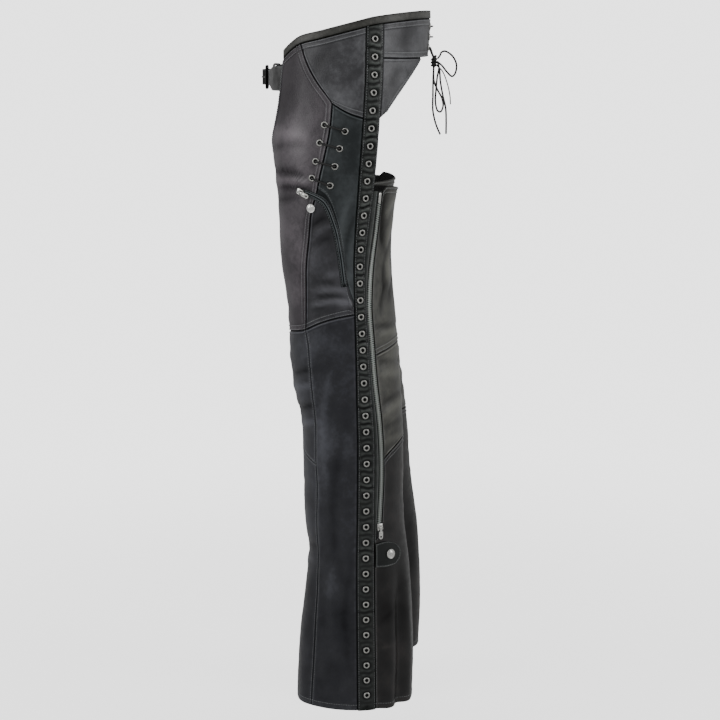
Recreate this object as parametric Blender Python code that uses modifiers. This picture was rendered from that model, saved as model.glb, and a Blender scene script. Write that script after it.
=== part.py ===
"""Leather chaps: two open-seated leather legs on a waistband, with a front belt and a back lace.

Each leg is a skin worked out from a table of level sections. The cut pieces are panels of that
skin between named seams, each a 2 mm wall. The left leg is built first; the right leg is its
mirror image, swung back a little below the knee.

Frame: metres, +Z up. The wearer faces -Y and the wearer's left is +X. The origin is the centre
of the waist. All the tables and helpers below work in millimetres and degrees.
"""

import functools
import math

import bpy
import bmesh
from mathutils import Matrix, Vector

MM = 0.001

# Leather, seams and trim (mm)
WALL = 2.0
SEAM_GAP = 0.3
LIFT = 0.5
STRIP_OUTER = 1.5
STRIP_INNER = -1.0
BAND_OUTER = 1.0
BAND_HEIGHT = 13.0
HEM_Z = -1083.0
CROTCH_Z = -290.0
KNEE_Z = -515.0
SHIN_Z = -668.0

# Where the seams in front of the side strip meet it, the side strip's meeting with the waistband, and
# the lower edges of the back yoke and of its gusset (z)
HIP_SEAM_Z = -177.0
POCKET_SEAM_Z = -455.0
KNEE_SEAM_Z = -467.0
STRIP_TOP_Z = -45.0
YOKE_SEAM_Z = -90.0
GUSSET_Z = -178.0

# Eyelets down the side strips (mm): each space is a little shorter than the one above it
EYELET_COUNT = 41
EYELET_TOP_Z = -63.0
EYELET_PITCH = 25.98
EYELET_CLOSING = 0.0546
EYELET_RADIUS = 5.6
EYELET_CREST_RADIUS = 4.1
EYELET_CREST = 1.2
EYELET_HOLE_RADIUS = 2.4
EYELET_SIDES = 6

# Eyelets in the laced seams: places seen from the side (y, z) and from the back (x, z), and sizes (mm)
EYELETS_FRONT = ((-36, -187), (-43, -213), (-49, -240), (-54.6, -264.5))
EYELETS_SIDE = ((-6, -196), (-14, -221), (-21, -247), (-28, -275))
EYELETS_YOKE = ((30, -44), (30, -60), (30, -76))
LACED_EYELET_RADIUS = 5.6
LACED_HOLE_RADIUS = 2.5
LACED_EYELET_RISE = 1.0
LACED_EYELET_FOOT = 1.7
LACED_SIDES = 7

# Laces (mm): the lifts of a laced bar over the seam, in its eyelet and under the leather
LACE_RADIUS = 1.3
THIN_LACE_RADIUS = 1.0
FREE_STEP = 7.6
LACE_OVER = 3.0
LACE_IN_HOLE = 1.4
LACE_UNDER = -5.0

# Pocket welt and zip, tab, press studs, sliders and pulls (mm)
WELT_COLUMNS = (0.0, 0.36, 0.48, 0.60, 1.0)
WELT_LIFTS = (1.7, 2.3, 1.3, 2.3, 1.7)
POCKET_SNAP = (-56.0, -309.0)
POCKET_SNAP_SIZE = (6.4, 3.4)
POCKET_SLIDER = (-70.0, -285.0)
POCKET_ZIP_RUN = ((-74, -284), (-54, -293))
ZIP_SLIDER_Z = -795.0
TAB_SNAP = (61.0, -839.0)
TAB_SNAP_SIZE = (7.2, 3.2)
TAB_START_TURN = 0.6
SLIDER_LENGTH = 11.0
SLIDER_WIDTH = 9.0
SLIDER_HEIGHT = 3.0
HINGE_Y = -1.0
HINGE_HEIGHT = 5.4
PIN_RADIUS = 0.7
EAR_SPACING = 2.6
EAR_THICKNESS = 1.2
EAR_LENGTH = 4.4
EAR_RISE = 1.4
PULL_EYE_RADIUS = 1.75
PULL_EYE_HOLE = 1.1
PULL_EYE_WIDTH = 3.2
PULL_NECK_END = 5.5
PULL_WIDTH = 6.8
SIDE_PULL_LENGTH = 14.0
POCKET_PULL_LENGTH = 15.0

# Belt (mm): its front curve is an ellipse, a little wider at the belt's lower edge, and each strap
# narrows to its end between the two distances of BELT_TAPER from the middle
BELT_MIDDLE_Z = -121.5
BELT_HALF_HEIGHT = 18.5
BELT_END_HALF_HEIGHT = 12.0
BELT_TAPER = (45.0, 80.0)
BELT_THICKNESS = 2.5
BELT_HALF_WIDTHS = (187.0, 210.0)
BELT_DEPTH = 121.0
BELT_CENTRE_Y = -2.5
BELT_OUT = 1.35
BELT_UNDER = ((122.0, -5.2), (108.0, -4.4), (98.0, -1.5))
BUCKLE_OUT = 5.1
BUCKLE_RADIUS = 2.2
BUCKLE_HALF_WIDTH = 14.0
BUCKLE_HALF_HEIGHT = 16.5
BUCKLE_CORNER = 5.0
FOLD_RADIUS = 3.75
TONGUE = ((-5.5, 13.6), (0.0, 10.8), (5.0, 8.7), (10.0, 7.6), (14.5, 7.2), (17.0, 6.6))
TONGUE_RADIUS = 1.3
KEEPER_ENDS = (-77.0, -67.0)
KEEPER_INNER = (-0.5, 6.3)
KEEPER_THICKNESS = 1.6
KEEPER_CLEARANCE = 1.0

# The back lace's knot and its free stretches, as routes chosen by hand (mm)
KNOT = (0.0, 131.0, -98.0)
KNOT_PROFILE = ((0.0, 11.0), (3.0, 9.5), (5.0, 5.5), (5.6, 0.0), (5.2, -5.5), (3.0, -10.0), (0.0, -11.0))
KNOT_SIDE = (6.6, 131.5, -95.0)
LACE_GAP_Y = 128.5
LOOP_LEFT = ((1.6, 136.9, -93), (5, 140, -88.5), (13, 142, -83.5), (23, 148, -82), (30, 158, -89),
             (33, 164, -101), (31, 163, -114), (26, 158, -120), (19, 150, -113), (12, 143, -104),
             (3.5, 136, -98))
LOOP_RIGHT = ((-6.6, 131, -101), (-10, 131, -108), (-13, 131, -114), (-21, 132, -128), (-28, 138, -142),
              (-30, 145, -155), (-28, 147, -167), (-22, 143, -176), (-15, 137, -173), (-11, 134, -158),
              (-9, 135, -140), (-7, 136.5, -122), (-6.5, 139, -107), (-3.8, 136.7, -99.5))
END_LONG = ((-2.5, 130.5, -109), (-5, 130, -126), (-7, 130, -149), (-8, 130, -172), (-9, 133, -188),
            (-10, 137, -200), (-11, 142, -211))
END_MIDDLE = ((3.3, 137, -102), (5, 139.3, -109), (7, 141, -129), (10, 145, -151), (12, 149, -168),
              (13, 150, -186), (13, 150, -209))
END_THIN = ((5.6, 132.2, -101.5), (9, 136.5, -105), (14, 144, -113), (20, 151, -131), (23, 155, -149),
            (24, 156, -163))

# Level sections of the left leg: height, front and back y, outer and inner x
SECTIONS = (
    # z,     front,  back, outer, inner
    (0,      -124,   124,   160,  -160),
    (-40,    -126,   125,   167,  -165),
    (-90,    -126,   121,   175,  -160),
    (-140,   -124,   116,   182,  -120),
    (-190,   -120,   108,   187,   -55),
    (-235,   -116,    92,   190,    -8),
    (-285,   -110,    74,   190,     6),
    (-335,   -107,    66,   188,     9),
    (-390,   -105,    64,   186,    12),
    (-440,    -98,    67,   185,    15),
    (-490,    -93,    72,   185,    19),
    (-545,    -91,    75,   186,    23),
    (-600,    -84,    80,   187,    28),
    (-642,    -74,    82,   187,    33),
    (-700,    -72,    83,   187,    38),
    (-765,    -71,    83,   188,    43),
    (-800,    -69,    85,   189,    46),
    (-845,    -64,    90,   190,    48),
    (-885,    -67,    94,   191,    49),
    (-950,    -75,    98,   193,    50),
    (-1010,   -80,   100,   196,    50),
    (-1090,   -83,    98,   199,    49),
)

# Large folds: where they start and are full, the angle round the leg, half width and depth
FOLDS = (
    # start z, full z, angle, half width, depth
    (-800,    -980,     23,    6.0,   -2.5),
    (-815,   -1000,     36,    8.0,    4.0),
    (-830,    -980,     51,    7.0,   -8.0),
    (-830,   -1000,     66,    9.0,    3.0),
    (-800,   -1000,    136,   16.0,   -8.0),
    (-800,   -1000,   -136,   18.0,   -6.0),
    (-860,   -1020,    -62,   16.0,    3.0),
)

# How far the right leg swings back, by height
SWAY = (
    # z,     back
    (0,       0.0),
    (-430,    0.0),
    (-490,    0.6),
    (-550,    2.2),
    (-606,    5.2),
    (-676,   10.6),
    (-761,   16.8),
    (-850,   20.0),
    (-960,   19.5),
    (-1090,  18.0),
)

# The side strip: centre line and half width, by height
STRIP = (
    # z,     centre y, half width
    (-30,     38.0,     12.7),
    (-120,    36.5,     12.5),
    (-172,    33.5,     12.2),
    (-223,    30.0,     12.0),
    (-267,    26.2,     11.8),
    (-296,    23.6,     11.2),
    (-335,    19.6,     10.1),
    (-370,    16.5,      9.0),
    (-400,    15.1,      8.5),
    (-444,    15.9,      8.4),
    (-475,    17.2,      8.7),
    (-505,    18.8,      9.3),
    (-565,    21.2,     10.4),
    (-626,    24.0,     12.1),
    (-673,    25.6,     12.9),
    (-782,    25.0,     13.0),
    (-845,    24.6,     13.4),
    (-908,    24.9,     13.6),
    (-1090,   26.6,     14.0),
)

# The side zip: centre line of its teeth, by height
ZIP = (
    # z,     centre y
    (-280,    46.6),
    (-341,    39.6),
    (-401,    32.0),
    (-453,    29.6),
    (-480,    30.8),
    (-506,    33.0),
    (-555,    36.6),
    (-582,    39.2),
    (-629,    44.6),
    (-675,    47.6),
    (-722,    48.1),
    (-769,    46.2),
    (-815,    43.6),
)
ZIP_TOP_Z = -286.0
ZIP_END_Z = -806.0
ZIP_SLANT = 12.0
ZIP_KNEE_Z = -531.0
ZIP_CALF_Z = -692.0
TEETH_HALF_WIDTH = 3.2
TAPE_MARGIN = 1.2
TAPE_OUTER = -0.4
TAPE_INNER = -1.8
TEETH_OUTER = 1.0
TEETH_BEVEL = 0.3
ZIP_SLANTS = (1.0, 0.70, 0.67, 0.10, 0.07, 0.0)  # each column's share of the slant at the zip's foot

# Seams seen from the side, as (y, z)
WAIST_LINE = ((-86, -67), (-73, -58), (-41, -50), (16, -35.5), (36, -30.5), (74, -25), (108, -21))
HIP_SEAM = ((-72, -72), (-65, -93), (-57, -110), (-46, -128), (-35, -142), (-25, -155))
HIP_SEAM_BACK = ((-25, -155), (-11, -164), (3, -171))
LACE_SEAM = ((-25, -155), (-28, -189), (-33, -216), (-38, -238), (-43, -259), (-48, -286))
POCKET_SEAM = ((-48, -286), (-37, -293), (-29, -303), (-22, -321), (-15, -345), (-8, -385), (0, -433))
POCKET_FRONT = ((-48, -286), (-57, -317), (-61, -361), (-65, -428), (-66, -493))
SHIN_SEAM = ((-66, -493), (-61, -523), (-55, -600), (-51, -650), (-51, -701))
HEM_SEAM = ((-51, -701), (-49, -740), (-50, -787), (-48, -851), (-50, -914), (-54, -995), (-59, -1083))
KNEE_SEAM = ((-66, -493), (-44, -481), (-21, -473))
GUSSET_HEM = ((56, -168), (72, -146), (90, -121), (109, -92))
WELT_OUTER = ((-77, -279), (-56, -284), (-37, -292), (-28, -303), (-21, -321), (-13.5, -345), (-6.5, -385),
              (-1.5, -425))
WELT_INNER = ((-76, -288), (-58, -293), (-43, -302), (-36, -311), (-30, -326), (-23.5, -348), (-17, -387),
              (-12, -426))
TAB_TOP = ((54, -818.5), (67, -823.5))
TAB_BOTTOM = ((54, -858), (69, -856))
TAB_NOSE = ((69, -856), (76, -848), (76.5, -838), (73, -829.5), (67, -823.5))
TAB_ROOT_Z = (-820.5, -857.0)

# Seams of the knee round the inner side, as (angle, z), and the back seams' points on the skin
KNEE_INNER = ((-180.0, KNEE_Z), (-130.0, -511.0), (-90.0, -504.0))
SHIN_INNER = ((-180.0, SHIN_Z), (-130.0, -672.0), (-90.0, -681.0))
BACK_TOP = ((50.0, -280.0), (85.0, -284.0), (180.0, CROTCH_Z))
BACK_KNEE = ((45.0, -527.0), (75.0, -519.0), (180.0, KNEE_Z))
BACK_CALF = ((45.0, -683.0), (75.0, -668.0), (180.0, SHIN_Z))
BACK_HEM = ((90.0, HEM_Z), (180.0, HEM_Z))
BACK_STEPS = (0.0, 0.045, 0.09, 0.135, 0.175, 0.215, 0.27, 0.36, 0.50, 0.66, 0.84, 1.0)

# Seams seen from the front or the back, as (x, z)
YOKE_END_X = 22.0
FRONT_EDGE = (
    # x,    z, the front panel's inner edge
    (110,  -92),
    (114, -140),
    (112, -175),
    (100, -205),
    (72,  -232),
    (42,  -255),
    (22,  -272),
)

COLOURS = {
    # name:           (red, green, blue), roughness, metallic
    "thigh_leather":  ((0.060, 0.053, 0.057), 0.55, 0.0),
    "yoke_leather":   ((0.085, 0.083, 0.082), 0.55, 0.0),
    "side_leather":   ((0.022, 0.026, 0.026), 0.50, 0.0),
    "strip_leather":  ((0.020, 0.026, 0.023), 0.50, 0.0),
    "shin_leather":   ((0.020, 0.020, 0.022), 0.50, 0.0),
    "back_leather":   ((0.075, 0.075, 0.060), 0.60, 0.0),
    "calf_leather":   ((0.026, 0.027, 0.026), 0.55, 0.0),
    "belt_leather":   ((0.030, 0.030, 0.030), 0.50, 0.0),
    "lace":           ((0.010, 0.010, 0.010), 0.60, 0.0),
    "zip_metal":      ((0.350, 0.360, 0.340), 0.35, 1.0),
    "nickel":         ((0.600, 0.600, 0.590), 0.25, 1.0),
    "dark_metal":     ((0.030, 0.030, 0.032), 0.30, 1.0),
}


# ---------------------------------------------------------------- curves and sections

def smooth(knots, values, at):
    """Cubic value through rows of (knot, value), with knots falling or rising."""
    if knots[0] > knots[-1]:
        knots, values = knots[::-1], values[::-1]
    last = len(knots) - 1
    index = 0
    while index < last - 1 and at > knots[index + 1]:
        index += 1
    slopes = []
    for knot in (index, index + 1):
        low, high = max(knot - 1, 0), min(knot + 1, last)
        slopes.append((values[high] - values[low]) / (knots[high] - knots[low]))
    span = knots[index + 1] - knots[index]
    u = min(max((at - knots[index]) / span, 0.0), 1.0)
    return ((2 * u ** 3 - 3 * u ** 2 + 1) * values[index] + (u ** 3 - 2 * u ** 2 + u) * span * slopes[0]
            + (3 * u ** 2 - 2 * u ** 3) * values[index + 1] + (u ** 3 - u ** 2) * span * slopes[1])


def column(table, index):
    return tuple(row[index] for row in table)


SECTION_Z = column(SECTIONS, 0)
SECTION_COLUMNS = tuple(column(SECTIONS, index) for index in (1, 2, 3, 4))


@functools.lru_cache(maxsize=None)
def section(z):
    """Centre x and y and half widths of the leg at one height."""
    front, back, outer, inner = (smooth(SECTION_Z, values, z) for values in SECTION_COLUMNS)
    return 0.5 * (outer + inner), 0.5 * (front + back), 0.5 * (outer - inner), 0.5 * (back - front)


def ramp(value):
    value = min(max(value, 0.0), 1.0)
    return value * value * (3.0 - 2.0 * value)


def fold_depth(angle, z):
    """How far the folds push the skin out at an angle and height."""
    depth = 0.0
    for start, full, centre, half_width, push in FOLDS:
        turn = (angle - centre + 180.0) % 360.0 - 180.0
        depth += push * ramp((start - z) / (start - full)) * math.exp(-(turn / half_width) ** 2)
    return depth


def base_point(angle, z):
    cx, cy, rx, ry = section(z)
    cosine, sine = math.cos(math.radians(angle)), math.sin(math.radians(angle))
    out = Vector((cosine / rx, sine / ry, 0.0)).normalized()
    return Vector((cx + rx * cosine, cy + ry * sine, z)) + out * fold_depth(angle, z)


def skin_normal(angle, z):
    around = base_point(angle + 0.5, z) - base_point(angle - 0.5, z)
    upward = base_point(angle, z + 1.0) - base_point(angle, z - 1.0)
    return around.cross(upward).normalized()


def skin(angle, z, lift=0.0):
    """A point on the leather's outer face, lifted along its normal."""
    return base_point(angle, z) + skin_normal(angle, z) * lift


def round_scale(angle, z):
    """Millimetres round the leg for one degree of angle."""
    return (base_point(angle + 0.5, z) - base_point(angle - 0.5, z)).length


def side(y, z):
    """Skin place of a point seen from the side, as (angle, z)."""
    _, cy, _, ry = section(z)
    return math.degrees(math.asin(min(max((y - cy) / ry, -1.0), 1.0))), z


def facing(x, z, back=False):
    """Skin place of a point seen from the front or the back."""
    cx, _, rx, _ = section(z)
    angle = math.degrees(math.acos(min(max((x - cx) / rx, -1.0), 1.0)))
    return (angle if back else -angle), z


def between(first, second, share):
    return tuple(low + (high - low) * share for low, high in zip(first, second))


def steps(low, high, count):
    return [low + (high - low) * index / count for index in range(count + 1)]


def sample(knots, count):
    """Points at equal steps along a smooth line through (angle, z) knots."""
    stretch = [0.0]
    for first, second in zip(knots, knots[1:]):
        across = (second[0] - first[0]) * round_scale(first[0], first[1])
        stretch.append(stretch[-1] + math.hypot(across, second[1] - first[1]))
    angles, heights = column(knots, 0), column(knots, 1)
    places = steps(0.0, stretch[-1], count)
    return [(smooth(stretch, angles, at), smooth(stretch, heights, at)) for at in places]


def side_line(points, count):
    return sample([side(*point) for point in points], count)


def strip_edge_y(z, sign):
    """The y of the side strip's front edge (sign -1) or rear edge (1)."""
    heights = column(STRIP, 0)
    return smooth(heights, column(STRIP, 1), z) + sign * smooth(heights, column(STRIP, 2), z)


def strip_edge(z, sign):
    return side(strip_edge_y(z, sign), z)


def to_strip(seam, z):
    """A seam in front of the strip, with its end on the strip's edge at a height."""
    return seam + ((strip_edge_y(z, -1.0), z),)


def strip_left(z):
    return strip_edge(z, -1.0)


def strip_right(z):
    return strip_edge(z, 1.0)


def zip_line(z, offset=0.0):
    return side(smooth(column(ZIP, 0), column(ZIP, 1), z) + offset, z)


def zip_right(z):
    return zip_line(z, TEETH_HALF_WIDTH + TAPE_MARGIN)


def rows(edge, top, bottom, count):
    """Points up an edge from its bottom to its top."""
    return [edge(z) for z in steps(bottom, top, count)]


def join(*lines):
    """Lines laid end to end, with each shared point once."""
    points = list(lines[0])
    for line in lines[1:]:
        points += line[1:]
    return points


def flip(line):
    return list(reversed(line))


# ---------------------------------------------------------------- meshes and objects

def material(name):
    found = bpy.data.materials.get(name)
    if found:
        return found
    colour, roughness, metallic = COLOURS[name]
    made = bpy.data.materials.new(name)
    made.use_nodes = True
    shader = made.node_tree.nodes["Principled BSDF"]
    shader.inputs["Base Color"].default_value = (*colour, 1.0)
    shader.inputs["Roughness"].default_value = roughness
    shader.inputs["Metallic"].default_value = metallic
    return made


def add_object(name, mesh, finish):
    made = bpy.data.objects.new(name, mesh)
    parts.objects.link(made)
    mesh.materials.clear()
    mesh.materials.append(material(finish))
    mesh.shade_smooth()
    mesh.set_sharp_from_angle(angle=math.radians(40))
    return made


def mesh_from(name, points, faces):
    """A closed mesh from points in millimetres."""
    mesh = bpy.data.meshes.new(name)
    mesh.from_pydata([point * MM for point in points], [], faces)
    edit = bmesh.new()
    edit.from_mesh(mesh)
    bmesh.ops.recalc_face_normals(edit, faces=edit.faces)
    edit.to_mesh(mesh)
    edit.free()
    return mesh


def coons(bottom, right, top, left):
    """A grid of (angle, z) between four lines; rows run bottom to top."""
    columns, count = len(bottom) - 1, len(left) - 1
    if len(top) != columns + 1 or len(right) != count + 1:
        raise ValueError("opposite sides have different numbers of points")
    grid = []
    for j in range(count + 1):
        v = j / count
        line = []
        for i in range(columns + 1):
            u = i / columns
            place = [(1 - v) * bottom[i][k] + v * top[i][k] + (1 - u) * left[j][k] + u * right[j][k]
                     - (1 - u) * (1 - v) * bottom[0][k] - u * (1 - v) * bottom[-1][k]
                     - (1 - u) * v * top[0][k] - u * v * top[-1][k] for k in (0, 1)]
            line.append(tuple(place))
        grid.append(line)
    return grid


def inset(grid, gap):
    """The grid with its border moved in by a gap, so that neighbours stay apart."""
    last_row, last_column = len(grid) - 1, len(grid[0]) - 1
    moved = [list(line) for line in grid]
    for j, line in enumerate(grid):
        for i, (angle, z) in enumerate(line):
            scale = round_scale(angle, z)
            shifts = []
            if i in (0, last_column):
                below, above = grid[max(j - 1, 0)][i], grid[min(j + 1, last_row)][i]
                run = Vector(((above[0] - below[0]) * scale, above[1] - below[1]))
                shifts.append(Vector((run.y, -run.x)).normalized() * (1 if i == 0 else -1))
            if j in (0, last_row):
                before, after = line[max(i - 1, 0)], line[min(i + 1, last_column)]
                run = Vector(((after[0] - before[0]) * scale, after[1] - before[1]))
                shifts.append(Vector((-run.y, run.x)).normalized() * (1 if j == 0 else -1))
            if not shifts:
                continue
            if len(shifts) == 2 and abs(shifts[0].cross(shifts[1])) > 0.3:
                turn = shifts[0].cross(shifts[1])
                move = Vector(((shifts[1].y - shifts[0].y) / turn, (shifts[0].x - shifts[1].x) / turn))
            else:
                move = sum(shifts, Vector((0.0, 0.0))).normalized()
            moved[j][i] = (angle + move.x * gap / scale, z + move.y * gap)
    return moved


def wall_mesh(name, grid, outer, inner, paired=False):
    """A closed wall over a grid; outer is one lift or one for each column.

    Paired rows lie on the chords of every second row along the first column, where the
    neighbour has half as many rows.
    """
    count, columns = len(grid), len(grid[0])
    lifts = outer if isinstance(outer, (list, tuple)) else [outer] * columns
    points = [skin(angle, z, lifts[i]) for line in grid for i, (angle, z) in enumerate(line)]
    points += [skin(angle, z, inner) for line in grid for angle, z in line]
    under = count * columns

    def at(j, i):
        return j * columns + i

    for j in range(1, count - 1, 2) if paired else ():
        for start in (0, under):
            points[start + at(j, 0)] = 0.5 * (points[start + at(j - 1, 0)] + points[start + at(j + 1, 0)])
    faces = []
    for j in range(count - 1):
        for i in range(columns - 1):
            quad = (at(j, i), at(j, i + 1), at(j + 1, i + 1), at(j + 1, i))
            faces.append(quad)
            faces.append(tuple(under + corner for corner in reversed(quad)))
    border = [at(0, i) for i in range(columns)] + [at(j, columns - 1) for j in range(1, count)]
    border += [at(count - 1, i) for i in range(columns - 2, -1, -1)]
    border += [at(j, 0) for j in range(count - 2, 0, -1)]
    for first, second in zip(border, border[1:] + border[:1]):
        faces.append((second, first, under + first, under + second))
    return mesh_from(name, points, faces)


def panel(name, finish, bottom, right, top, left, outer=0.0, inner=-WALL, paired=False):
    """One cut piece between four seam lines."""
    grid = inset(coons(bottom, right, top, left), 0.5 * SEAM_GAP)
    return add_object("left_" + name, wall_mesh(name, grid, outer, inner, paired), finish)


def evaluated_mesh(source):
    graph = bpy.context.evaluated_depsgraph_get()
    mesh = bpy.data.meshes.new_from_object(source.evaluated_get(graph))
    mesh.transform(source.matrix_world)
    return mesh


def combine(target, tool, operation):
    """Boolean of two objects, applied; the tool is used up."""
    modifier = target.modifiers.new("combine", "BOOLEAN")
    modifier.operation = operation
    modifier.solver = "EXACT"
    modifier.object = tool
    bpy.context.view_layer.update()
    mesh = evaluated_mesh(target)
    target.modifiers.clear()
    target.data = mesh
    target.matrix_world = Matrix()
    bpy.data.objects.remove(tool)
    return target


def stand(angle, z, lift, toward=None):
    """A matrix on the skin: X along toward (or round the leg), Z along the normal, in metres."""
    normal = skin_normal(angle, z)
    across = toward if toward else base_point(angle + 0.5, z) - base_point(angle - 0.5, z)
    across = (across - normal * across.dot(normal)).normalized()
    turned = Matrix((across, normal.cross(across), normal)).transposed().to_4x4()
    turned.translation = skin(angle, z, lift) * MM
    return turned


def lathe(name, finish, profile, sides, place):
    """A round piece from (radius, height) rows in millimetres, from its top down its outer side."""
    mesh = bpy.data.meshes.new(name)
    corners = [(radius * MM, 0.0, height * MM) for radius, height in profile]
    mesh.from_pydata(corners, [(index, index + 1) for index in range(len(corners) - 1)], [])
    made = bpy.data.objects.new(name, mesh)
    parts.objects.link(made)
    turn = made.modifiers.new("turn", "SCREW")
    turn.steps = turn.render_steps = sides
    turn.use_merge_vertices = True
    turn.merge_threshold = 0.00001
    bpy.context.view_layer.update()
    turned = evaluated_mesh(made)
    bpy.data.objects.remove(made)
    turned.transform(place)
    return add_object(name, turned, finish)


def solid_box(name, size, centre, place, finish):
    edit = bmesh.new()
    bmesh.ops.create_cube(edit, size=1.0)
    bmesh.ops.scale(edit, vec=Vector(size) * MM, verts=edit.verts)
    bmesh.ops.translate(edit, vec=Vector(centre) * MM, verts=edit.verts)
    mesh = bpy.data.meshes.new(name)
    edit.to_mesh(mesh)
    edit.free()
    mesh.transform(place)
    return add_object(name, mesh, finish)


def solid_rod(name, radius, length, centre, axis, place, finish, sides=12):
    """A cylinder along the X, Y or Z axis of a place."""
    edit = bmesh.new()
    bmesh.ops.create_cone(edit, cap_ends=True, segments=sides, radius1=radius * MM, radius2=radius * MM,
                          depth=length * MM)
    turn = {"X": Matrix.Rotation(math.pi / 2, 4, "Y"), "Y": Matrix.Rotation(math.pi / 2, 4, "X"),
            "Z": Matrix()}[axis]
    mesh = bpy.data.meshes.new(name)
    edit.to_mesh(mesh)
    edit.free()
    mesh.transform(place @ Matrix.Translation(Vector(centre) * MM) @ turn)
    return add_object(name, mesh, finish)


def smooth_route(knots, spacing):
    """A smooth route through 3-D knots in millimetres, a point every spacing."""
    stretch = [0.0]
    for first, second in zip(knots, knots[1:]):
        stretch.append(stretch[-1] + (Vector(second) - Vector(first)).length)
    count = max(int(round(stretch[-1] / spacing)), 3)
    return [Vector([smooth(stretch, column(knots, axis), at) for axis in (0, 1, 2)])
            for at in steps(0.0, stretch[-1], count)]


def lace(name, knots, radius=LACE_RADIUS, spacing=None, cyclic=False):
    """A lace as a tube along a smooth route, or through the knots themselves."""
    route = smooth_route(knots, spacing) if spacing else [Vector(knot) for knot in knots]
    curve = bpy.data.curves.new(name, "CURVE")
    curve.dimensions = "3D"
    curve.bevel_depth = radius * MM
    curve.bevel_resolution = 2
    curve.use_fill_caps = True
    spline = curve.splines.new("POLY")
    spline.points.add(len(route) - 1)
    spline.use_cyclic_u = cyclic
    for point, place in zip(spline.points, route):
        point.co = (*(place * MM), 1.0)
    made = bpy.data.objects.new(name, curve)
    parts.objects.link(made)
    curve.materials.append(material("lace"))
    return made


def tube_mesh_object(source):
    """The curve object as a welded mesh object of the same name."""
    name = source.name
    mesh = evaluated_mesh(source)
    edit = bmesh.new()
    edit.from_mesh(mesh)
    bmesh.ops.remove_doubles(edit, verts=edit.verts, dist=0.00001)
    edit.to_mesh(mesh)
    edit.free()
    finish = source.data.materials[0].name
    bpy.data.objects.remove(source)
    return add_object(name, mesh, finish)


def sway(z):
    return smooth(column(SWAY, 0), column(SWAY, 1), z)


def mirror_leg():
    """The right leg: each left piece mirrored, and swung back below the knee."""
    for source in [made for made in parts.objects if made.name.startswith("left_")]:
        mesh = evaluated_mesh(source)
        for vertex in mesh.vertices:
            x, y, z = vertex.co
            vertex.co = (-x, y + sway(z / MM) * MM, z)
        edit = bmesh.new()
        edit.from_mesh(mesh)
        if source.type == "CURVE":
            bmesh.ops.remove_doubles(edit, verts=edit.verts, dist=0.00001)
        bmesh.ops.reverse_faces(edit, faces=edit.faces)
        edit.to_mesh(mesh)
        edit.free()
        add_object("right_" + source.name[5:], mesh, source.active_material.name)


# ---------------------------------------------------------------- the leather panels

def waist_knots(drop):
    """The waist line from the front edge round to the back end, lowered by drop."""
    knots = [facing(FRONT_EDGE[0][0], -80.0)]
    knots += [side(y, z) for y, z in WAIST_LINE]
    knots.append(facing(YOKE_END_X, -20.0, back=True))
    return [(angle, z - drop) for angle, z in knots]


def waist_line_at(angle, drop):
    knots = waist_knots(drop)
    return smooth(column(knots, 0), column(knots, 1), angle)


def waist_between(first, last, count, drop=BAND_HEIGHT):
    """The lower edge of the waistband between two angles."""
    return [(angle, waist_line_at(angle, drop)) for angle in steps(first, last, count)]


def waist_stretches(drop):
    """The waist line in stretches: front thigh, hip yoke, strip, back yoke."""
    hip = side(*HIP_SEAM[0])[0]
    knots = waist_knots(0.0)
    stops = (knots[0][0], hip, strip_left(STRIP_TOP_Z)[0], strip_right(STRIP_TOP_Z)[0], knots[-1][0])
    return [waist_between(first, last, count, drop)
            for first, last, count in zip(stops, stops[1:], (2, 6, 1, 8))]


def make_waistband():
    top, bottom = join(*waist_stretches(0.0)), join(*waist_stretches(BAND_HEIGHT))
    panel("waistband", "yoke_leather", bottom, [bottom[-1], top[-1]], top, [bottom[0], top[0]],
          outer=BAND_OUTER)


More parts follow.
